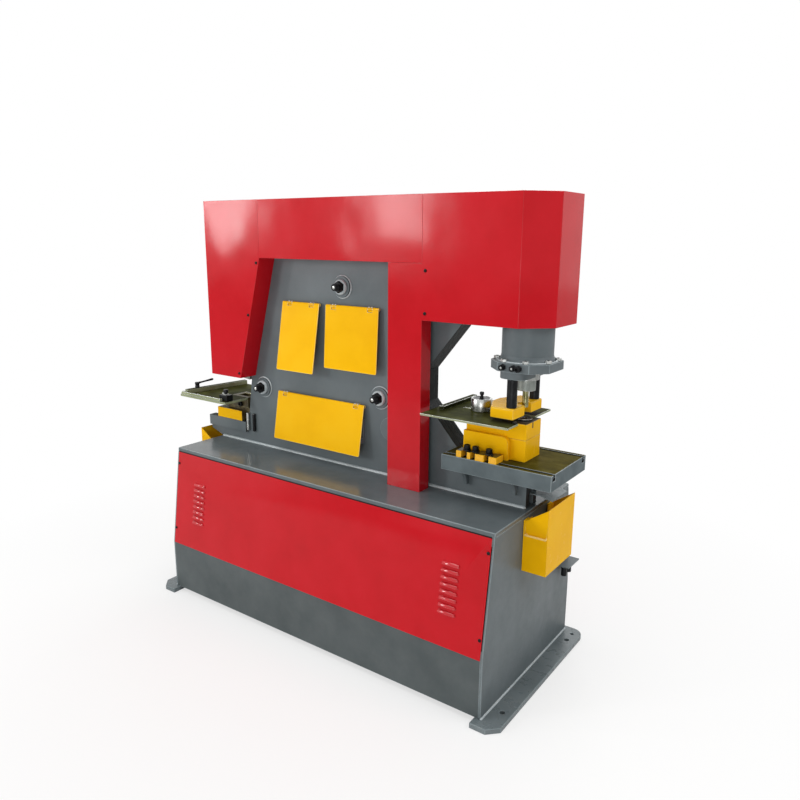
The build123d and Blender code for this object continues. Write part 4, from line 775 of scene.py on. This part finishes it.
# Gauge plate: a thin ground plate on the bolster with a back bar screwed to it, kept under oil.
# Its sawn edges are paler than its top, and round the die it is painted dark, as black oil and scale and as
# the shadow under the stripper.
# A socket screw, black with oil, stands near its right edge.
gauge_tones = ("#2C2E14", "#3E4120", "#565934")
sawn_tones = ("#868E6C", "#A4AB8B")
gauge_thickness = 0.008
gauge_finish = oiled_top_with_painted_reflection("oiled_ground_plate", gauge_tones, sawn_tones, streak=6)
die_low, die_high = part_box("punch_die")
die_side_finish = oiled_top_with_painted_reflection("oiled_ground_plate_round_the_die", gauge_tones, sawn_tones, streak=6,
                            die=(die_low + die_high) / 2)
bar_finish = oiled_top_with_painted_reflection("oiled_ground_bar", gauge_tones, ("#2A2C18", "#3E4128"), streak=6)
gauge = rounded_copy("gauge_plate", (die_side_finish, bar_finish, bright_steel),
                     radius=0.001)
gauge_top = bolster_high.z + gauge_thickness
second_finish(gauge, lambda face: face.material_index == 0 and face.center.z > gauge_top + 0.5 * millimetre)
gauge_low, gauge_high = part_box("gauge_plate")
gauge_screw_from_right = 0.010
gauge_screw_from_front = 0.076
gauge_screw_place = (gauge_high.x - gauge_screw_from_right, gauge_low.y + gauge_screw_from_front, gauge_top)
gauge_screw_profile = [
    (0.0075, 0), (0.008, 0.0008), (0.008, 0.009), (0.0068, 0.0102), (0.004, 0.0104), (0.0038, 0.005)]
gauge_screws = copies_at(turned(gauge_screw_profile, oil_black, segments=24), [gauge_screw_place])
joined("gauge_plate_screw", gauge_screws, "base")

# Sliding stop: a turned steel cup that stock is pushed against, with a groove round its waist.
# Its face is blackened, and a black knob on its screw clamps it in the gauge plate's slot.
stop_low, stop_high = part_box("gauge_stop")
stop_foot = foot_of((stop_low, stop_high), (0, 0, 1))
cup_profile = [
    (0.006, 0), (0.006, 0.008), (0.041, 0.008), (0.043, 0.010), (0.043, 0.022), (0.0418, 0.023),
    (0.0418, 0.026), (0.043, 0.027), (0.043, 0.058), (0.0415, 0.060), (0.036, 0.060), (0.0345, 0.058)]
face_profile = [(0.0345, 0.0575), (0.0345, 0.0585), (0.012, 0.0590), (0.012, 0.060)]
knob_profile = [
    (0.008, 0.059), (0.008, 0.064), (0.0075, 0.066), (0.0055, 0.068), (0.0055, 0.071), (0.0088, 0.074),
    (0.009, 0.082), (0.0075, 0.0848), (0.004, 0.086)]
stop_parts = copies_at(turned(cup_profile, bright_steel, segments=48), [stop_foot])
stop_parts += copies_at(turned(face_profile, black_oxide, segments=48), [stop_foot])
stop_parts += copies_at(turned(knob_profile, black_oxide, segments=20), [stop_foot])
joined("gauge_stop_set", stop_parts, "stop", ["gauge_stop"])

# Stripper: a thick yellow yoke with a slot for the punch, hung on two black posts.
# The posts screw into a grey carrier plate under the cylinder's flange.
carrier_thickness = 0.028
rounded_copy("stripper_yoke", (yellow_enamel, yellow_edge_shade_and_highlight), radius=0.003)
carrier = rounded_copy("stripper_carrier", (grey_enamel, black_oxide, grey_edge_highlight))
carrier_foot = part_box("stripper_carrier")[1].z - carrier_thickness
second_finish(carrier, lambda face: face.center.z < carrier_foot - 0.5 * millimetre)

# Punching cylinder: a turned barrel welded on an eight-sided flange, painted grey.
# Studs with zinc nuts hold the flange, and three plugs close the oil ports in its front.
# Two of the plugs show a zinc ball in their socket.
rounded_copy("punch_cylinder", (grey_enamel, grey_edge_highlight))
flange_thickness = 0.035
flange_low, flange_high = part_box("punch_cylinder")
punch_middle = (flange_low.x + flange_high.x) / 2
flange_top = flange_low.z + flange_thickness
fillet_radius = 0.114
barrel_weld = 0.0042
fillet_profile = [
    (fillet_radius, 0), (0.1095, 0.003), (0.1055, 0.007), (0.1025, 0.013), (0.1005, 0.021)]
barrel_foot = copies_at(turned(fillet_profile, grey_enamel, segments=72), [(punch_middle, 0, flange_top)])
joined("barrel_foot", barrel_foot, "base")
weld_ring("barrel_weld", (punch_middle, 0, flange_top), (0, 0, 1), fillet_radius, barrel_weld)
zinc = steel("zinc_plated_steel", ("#B9BCBA", "#D0D3D0", "#E6E7E4"),
             metallic=0.55, roughness=0.26, grain=18)
flange_stud_profile = [(0.006, 0), (0.006, 0.0455), (0.005, 0.047)]
flange_nut_profile = [(0.0105, 0), (0.0125, 0.001), (0.0125, 0.010), (0.0105, 0.0115), (0.0085, 0.0115)]
plug_profile = [
    (0.0125, 0), (0.013, 0.0008), (0.013, 0.006), (0.0118, 0.007), (0.0118, 0.0195), (0.0105, 0.022),
    (0.0062, 0.022), (0.0058, 0.014)]
ball_profile = [(0.003, 0.0155), (0.0052, 0.017), (0.0052, 0.019), (0.003, 0.021)]
third_plug_offset = 0.026
forward = (0, -1, 0)
fastener_boxes = solid_boxes("flange_bolts")
stud_middles = [(low + high) / 2 for low, high in fastener_boxes if low.z < flange_low.z + millimetre]
ball_places = [foot_of(box, forward) for box in fastener_boxes if box[0].z > flange_low.z + millimetre]
third_plug = Vector((punch_middle + third_plug_offset, ball_places[0].y, ball_places[0].z))
stud_places = [(middle.x, middle.y, flange_low.z) for middle in stud_middles]
nut_places = [(middle.x, middle.y, flange_top) for middle in stud_middles]
fasteners = copies_at(turned(flange_stud_profile, black_oxide, segments=20), stud_places)
fasteners += copies_at(turned(flange_nut_profile, zinc, segments=6), nut_places)
fasteners += copies_at(turned(plug_profile, black_oxide, segments=6), ball_places + [third_plug], forward)
fasteners += copies_at(turned(ball_profile, zinc, segments=16), ball_places, forward)
joined("flange_fasteners", fasteners, "base", ["flange_bolts"])

# Ram, coupling nut and punch: hardened and ground steel that travels as one.
# The nut has flats for a hook spanner, and the punch is held by its head inside it.
rounded_copy("punch_ram", (bright_steel, bright_steel), radius=0.001)
nut_steel = steel("dull_turned_steel", ("#7C827E", "#8E948F", "#A0A49D"),
                  metallic=0.4, roughness=0.42, grain=40)
rounded_copy("coupling_nut", (nut_steel, bright_steel), radius=0.0025)
tool_steel = steel("oiled_tool_steel", ("#7C7A52", "#9B9870", "#C4C2A4"),
                   metallic=1.0, roughness=0.24, grain=16)
rounded_copy("punch", (tool_steel, tool_steel), radius=0.0006)

# Shear arm with its pin and blades: a rocking plate between the frame plates.
# The arm and the pin's caps are painted grey, and the blades are ground tool steel.
rounded_copy("shear_arm", (plate_finish, grey_edge_highlight))
rounded_copy("pivot_pin", (grey_enamel, grey_edge_highlight))
blade_steel = steel("ground_blade_steel", ("#83857F", "#94968F", "#A5A79F"),
                    metallic=1.0, roughness=0.34, grain=75)
for node in ("fixed_blades", "moving_blades"):
    rounded_copy(node, (blade_steel, bright_steel), radius=0.0006)

# Guard flaps: yellow sheet with a rolled top edge, on pins in lugs that are welded to the plate.
# The sheet's edges are painted pale, as a painted highlight, and the two lower corners are rounded off.
# A yellow leaf and two zinc rivets show at each hinge.
flap_nodes = ("guard_flap_bar", "guard_flap_angle", "guard_flap_flat")
flap_enamel = enamel("yellow_gloss_enamel_on_flat_sheet", yellow_tones,
                     roughness=0.1, dulling=0.03, wave=0.002, shine=0.07)
flap_edge_highlight = enamel("yellow_enamel_painted_pale_as_highlight_on_sheet_edges", ("#FAD25C", "#FDDE80", "#FFEBAE"),
                   roughness=0.12, dulling=0.04, wave=0.001, shine=0.3)
for node in flap_nodes:
    rounded_copy(node, (flap_enamel, flap_edge_highlight), radius=0.0012, corners=0.008)
rounded_copy("flap_hinges", (yellow_edge_shade_and_highlight, bright_steel), radius=0.0008)
hinge_y = -0.062
hinge_from_side = 0.047
leaf_size = (0.024, 0.0012, 0.0058)
leaf_forward = 0.004
leaf_drop = 0.0165
rivet_step = 0.008
rivet_drop = 0.0005
rivet_profile = [(0.0045, 0), (0.005, 0.0008), (0.0042, 0.0028), (0.0022, 0.004)]
rivet_places = []
leaf_pieces = []
for node in flap_nodes:
    flap_low, flap_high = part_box(node)
    for leaf_x in (flap_low.x + hinge_from_side, flap_high.x - hinge_from_side):
        leaf_place = (leaf_x, hinge_y - leaf_forward, flap_high.z - leaf_drop)
        leaf_pieces.append(bevelled_block(leaf_place, leaf_size, yellow_enamel, rounding=0.0004))
        for step in (-rivet_step, rivet_step):
            rivet_places.append((leaf_x + step, hinge_y, flap_high.z - rivet_drop))
joined("hinge_leaves", leaf_pieces, "base")
hinge_rivets = copies_at(turned(rivet_profile, zinc, segments=12), rivet_places)
joined("hinge_rivets", hinge_rivets, "base")

# Shear cylinder and its rod: a barrel painted grey on a welded bracket, hidden under the left cover.
# Its ground rod presses on the wear pad of the arm.
rounded_copy("shear_cylinder", (grey_enamel, grey_edge_highlight))
rounded_copy("shear_rod", (bright_steel, bright_steel), radius=0.001)

# Notching station: a yellow holder with a tool-steel die; behind its front the holder is painted dark
# brown, as oil stain and as painted shade.
# A black socket screw holds the die, the punch hangs above it on the arm, and an oiled ground
# table lies round both.
stain_and_shade = steel("oil_stained_and_shaded_steel", ("#3A3220", "#5A4E30", "#74673F"),
                metallic=0.3, roughness=0.45, grain=26)
stain_and_shade_front = -0.050
holder = rounded_copy("notch_holder", (yellow_enamel, stain_and_shade, yellow_edge_shade_and_highlight))
second_finish(holder, lambda face: face.center.y > stain_and_shade_front)
rounded_copy("notch_die", (stain_and_shade, tool_steel), radius=0.0008)
notch_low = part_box("notch_die")[0]
die_screw_from_left = 0.062
die_screw_rise = 0.015
die_screw_place = (notch_low.x + die_screw_from_left, notch_low.y, notch_low.z + die_screw_rise)
die_screw_profile = [
    (0.0125, 0), (0.013, 0.001), (0.013, 0.010), (0.0115, 0.012), (0.007, 0.012), (0.0065, 0.006)]
die_screws = copies_at(turned(die_screw_profile, black_oxide, segments=24), [die_screw_place], forward)
joined("notch_die_screw", die_screws, "base")
rounded_copy("notch_punch", (blade_steel, bright_steel), radius=0.001)
rounded_copy("notch_table", (gauge_finish, bright_steel), radius=0.001)

# Side fence and front rail: ground flat bar on the notching table, with bright edges.
# A black block slides along the rail as a stop; a knob on a zinc washer and a small zinc screw
# stand on its top.
rounded_copy("side_fence", (gauge_finish, bright_steel), radius=0.0012)
rounded_copy("front_rail", (gauge_finish, zinc), radius=0.0016)
rounded_copy("slide_stop", (black_oxide, black_oxide))
slide_height = 0.030
slide_screw_from_end = 0.010
slide_low, slide_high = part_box("slide_stop")
slide_middle = (slide_low + slide_high) / 2
slide_top = Vector((slide_middle.x, slide_middle.y, slide_low.z + slide_height))
slide_screw_place = Vector((slide_low.x + slide_screw_from_end, slide_top.y, slide_top.z))
slide_knob_profile = [(0.0085, 0), (0.0085, 0.010), (0.0125, 0.012), (0.0125, 0.022), (0.0105, 0.0265)]
washer_profile = [(0.0125, 0), (0.0135, 0.0006), (0.0135, 0.0030), (0.0125, 0.0036)]
slide_screw_profile = [(0.0065, 0), (0.0068, 0.0006), (0.0068, 0.006), (0.0052, 0.0078)]
slide_parts = copies_at(turned(slide_knob_profile, black_oxide, segments=20), [slide_top])
slide_parts += copies_at(turned(washer_profile, zinc, segments=28), [slide_top])
slide_parts += copies_at(turned(slide_screw_profile, zinc, segments=16), [slide_screw_place])
joined("slide_stop_screws", slide_parts, "slider")

# Clamp lever: a cast hub with a tapered handle, enamelled black, on the side fence's stud.
# Pulled round, it locks the fence at its angle on the table.
hub_height = 0.030
grip_length = 0.088
grip_rise = 0.014
grip_below_top = 0.006
lever_angle = math.radians(21)
lever_x = -1.011
lever_y = -0.111
lever_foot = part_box("clamp_lever")[0].z
hub_place = (lever_x, lever_y, lever_foot)
grip_place = (lever_x, lever_y, lever_foot + hub_height - grip_below_top)
grip_axis = Vector((math.sin(lever_angle) * grip_length, math.cos(lever_angle) * grip_length, grip_rise))
hub_profile = [
    (0.0105, 0), (0.012, 0.0015), (0.012, 0.011), (0.0105, 0.013), (0.0105, 0.016), (0.012, 0.018),
    (0.012, 0.027), (0.010, 0.0295), (0.006, hub_height)]
grip_profile = [
    (0.005, 0.004), (0.0056, 0.012), (0.0045, 0.024), (0.0046, 0.045), (0.0056, 0.068), (0.006, 0.080),
    (0.0052, 0.086), (0.003, 0.0888)]
lever_parts = copies_at(turned(hub_profile, black_oxide, segments=24), [hub_place])
lever_parts += copies_at(turned(grip_profile, black_oxide, segments=16), [grip_place], grip_axis)
joined("clamp_lever_set", lever_parts, "lever", ["clamp_lever"])

# Stroke rods: two short upright steel rods against the front plate, which set the stroke.
# The left one is bright ground steel, which also stands for a painted highlight on it; the right one is
# black-oxided.
rods = rounded_copy("stroke_rods", (black_oxide, bright_steel, bright_steel), radius=0.001)
rod_low, rod_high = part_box("stroke_rods")
second_finish(rods, lambda face: face.center.x < (rod_low.x + rod_high.x) / 2)

# Sheet covers: folded from 3 mm sheet, welded at the corners, ground flush and sprayed gloss red.
# Three of them, left, top and right, stand edge to edge over the frame and are screwed to it.
for node in ("left_cover", "top_cover", "right_cover"):
    rounded_copy(node, (red_enamel, red_edge_highlight), radius=0.0014)

# Sheet screws: black-oxided button heads with a hexagon socket, turned into tapped holes.
# They hold the leaning panels by their ends and the upright covers by their edges.
panel_head = 0.004
cover_head = 0.005
panel_screw_y = 0.2
screw_boxes = solid_boxes("sheet_screws")
screw_rows = (
    ((0, -uphill.z, uphill.y), panel_head, [box for box in screw_boxes if box[0].y < -panel_screw_y]),
    ((0, uphill.z, uphill.y), panel_head, [box for box in screw_boxes if box[0].y > panel_screw_y]),
    (forward, cover_head, [box for box in screw_boxes if -panel_screw_y < box[0].y < 0]),
    ((0, 1, 0), cover_head, [box for box in screw_boxes if 0 < box[0].y < panel_screw_y]),
)
screw_parts = []
for axis, height, boxes in screw_rows:
    button_profile = [
        (0.0068, 0), (0.007, 0.2 * height), (0.0064, 0.55 * height), (0.005, 0.85 * height),
        (0.0034, height), (0.0028, height), (0.0026, 0.4 * height)]
    screw_places = [(low + high) / 2 - Vector(axis) * height / 2 for low, high in boxes]
    screw_parts += copies_at(turned(button_profile, black_oxide, segments=12), screw_places, axis)
joined("button_screws", screw_parts, "base", ["sheet_screws"])

# Scrap bins: folded from 3 mm sheet and painted gloss yellow, hooked on hangers welded to the base.
# A handle of bent wire stands on the front of each; it is painted pale yellow, as a painted highlight.
wire_highlight_enamel = enamel("yellow_enamel_painted_pale_as_highlight_on_wire", ("#F2C04C", "#F7CE74", "#FBDD9C"),
                     roughness=0.2, dulling=0.06, wave=0.001, shine=0.2)
handle_reach = 0.0155
for node in ("scrap_bin_left", "scrap_bin_right"):
    scrap_bin = rounded_copy(node, (yellow_enamel, wire_highlight_enamel, yellow_edge_shade_and_highlight), radius=0.001)
    bin_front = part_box(node)[0].y + handle_reach
    second_finish(scrap_bin, lambda face: face.center.y < bin_front)
rounded_copy("bin_hangers", (grey_enamel, grey_edge_highlight), radius=0.001)

# Power unit inside the base: a welded oil tank with its lid, and a box for the wiring, painted grey.
# Motor, pump and valve block are cast iron, painted over the rough skin of the casting.
for node in ("oil_tank", "tank_lid", "wiring_box"):
    rounded_copy(node, (grey_enamel, grey_edge_highlight))
cast = steel("painted_cast_iron", ("#3C4446", "#485154", "#566064"), metallic=0.1, roughness=0.5, grain=9)
for node in ("motor", "pump", "valve_block"):
    rounded_copy(node, (cast, grey_edge_highlight), radius=0.003)

# Socket shelf: a small plate on the right end of the base, painted grey.
# Two black socket bodies hang under it.
shelf_thickness = 0.006
shelf = rounded_copy("socket_shelf", (grey_enamel, black_oxide, grey_edge_highlight), radius=0.001)
shelf_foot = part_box("socket_shelf")[1].z - shelf_thickness
second_finish(shelf, lambda face: face.center.z < shelf_foot - 2 * millimetre)

# Floor: a plain pale floor that keeps the machine's shadow.
# It fades to white away from the machine, for the eye only, so it gives no extra light.
bpy.ops.object.select_all(action="DESELECT")
bpy.ops.mesh.primitive_plane_add(size=40)
floor = bpy.context.object
floor.name = "floor"
pale_floor = bpy.data.materials.new("pale_floor")
pale_floor.use_nodes = True
floor_tree = pale_floor.node_tree
floor_shader = floor_tree.nodes["Principled BSDF"]
floor_shader.inputs["Base Color"].default_value = linear("#F4F4F3")
floor_shader.inputs["Roughness"].default_value = 0.8
floor_place = add_node(pale_floor, "ShaderNodeTexCoord").outputs["Object"]
floor_distance = add_node(pale_floor, "ShaderNodeVectorMath", links={0: floor_place}, operation="LENGTH")
floor_far = add_node(pale_floor, "ShaderNodeMapRange", {"From Min": 0.9, "From Max": 2.6, "To Min": 0.6},
                     {"Value": floor_distance.outputs["Value"]})
seen = add_node(pale_floor, "ShaderNodeLightPath").outputs["Is Camera Ray"]
seen_far = add_node(pale_floor, "ShaderNodeMath", links={0: floor_far.outputs["Result"], 1: seen},
                    operation="MULTIPLY")
white = add_node(pale_floor, "ShaderNodeEmission", {"Color": linear("#FFFFFF"), "Strength": 1.0})
floor_mix = add_node(pale_floor, "ShaderNodeMixShader",
                     links={0: seen_far.outputs["Value"], 1: floor_shader.outputs["BSDF"],
                            2: white.outputs["Emission"]})
floor_tree.links.new(floor_mix.outputs["Shader"], floor_tree.nodes["Material Output"].inputs["Surface"])
floor.data.materials.append(pale_floor)

# Studio light: a white room for the eye and for reflections, dimmer for the light it gives.
# Two tall boxes stand far in front like windows, and the rest fill in from the top, sides and back.
world = bpy.data.worlds.new("white_room")
bpy.context.scene.world = world
world.use_nodes = True
room = world.node_tree.nodes["Background"]
room.inputs["Color"].default_value = linear("#FFFFFF")
rays = add_node(world, "ShaderNodeLightPath")
seen_through = add_node(world, "ShaderNodeMath", operation="MAXIMUM",
                        links={0: rays.outputs["Is Camera Ray"], 1: rays.outputs["Is Transmission Ray"]})
seen_white = add_node(world, "ShaderNodeMath", operation="MAXIMUM",
                      links={0: seen_through.outputs["Value"], 1: rays.outputs["Is Glossy Ray"]})
room_strength = add_node(world, "ShaderNodeMapRange", {"To Min": 0.42, "To Max": 1.0},
                         {"Value": seen_white.outputs["Value"]})
world.node_tree.links.new(room_strength.outputs["Result"], room.inputs["Strength"])


def soft_box(name, place, target, width, height, watts):
    """A flat area lamp that looks at a point."""
    lamp = bpy.data.lights.new(name, "AREA")
    lamp.shape = "RECTANGLE"
    lamp.size = width
    lamp.size_y = height
    lamp.energy = watts
    stand = bpy.data.objects.new(name, lamp)
    bpy.context.scene.collection.objects.link(stand)
    stand.location = place
    stand.rotation_euler = (Vector(target) - Vector(place)).to_track_quat("-Z", "Y").to_euler()


soft_box("left_window", (-5.35, -4.2, 2.4), (-0.6, 0, 1.4), width=0.6, height=1.4, watts=47)
soft_box("front_window", (-2.6, -4.2, 2.4), (0, 0, 1.4), width=0.75, height=1.45, watts=57)
soft_box("low_fill", (2.2, -4.2, 1.0), (0.6, -0.2, 0.6), width=1.6, height=1.2, watts=28)
soft_box("right_box", (2.9, 0.3, 2.9), (0.8, 0, 0.9), width=1.2, height=1.2, watts=23)
soft_box("top_box", (0.2, -0.7, 4.4), (0, 0, 1.0), width=2.8, height=2.8, watts=62)
soft_box("rear_box", (-0.5, 3.8, 4.2), (0, 0.2, 0.9), width=2.8, height=1.8, watts=80)

# Camera: stands to the right of the machine's front at eye level and looks slightly down.
# It is turned by its azimuth and pitch, and then rolled by less than half a degree.
camera_place = Vector((2.000754, -2.479593, 1.791973))
camera_azimuth = math.radians(35.51)
camera_pitch = math.radians(12.923)
camera_roll = math.radians(0.432927)
focal_length = 31.862
ahead = Vector((-math.sin(camera_azimuth) * math.cos(camera_pitch),
                math.cos(camera_azimuth) * math.cos(camera_pitch), -math.sin(camera_pitch)))
level_right = Vector((math.cos(camera_azimuth), math.sin(camera_azimuth), 0))
level_up = level_right.cross(ahead)
right = level_right * math.cos(camera_roll) + level_up * math.sin(camera_roll)
above = level_up * math.cos(camera_roll) - level_right * math.sin(camera_roll)
lens = bpy.data.cameras.new("photo_camera")
lens.sensor_width = 36.0
lens.lens = focal_length
camera = bpy.data.objects.new("photo_camera", lens)
bpy.context.scene.collection.objects.link(camera)
stance = Matrix((right, above, -ahead)).transposed().to_4x4()
stance.translation = camera_place
camera.matrix_world = stance
bpy.context.scene.camera = camera
bpy.context.scene.view_settings.view_transform = "Standard"
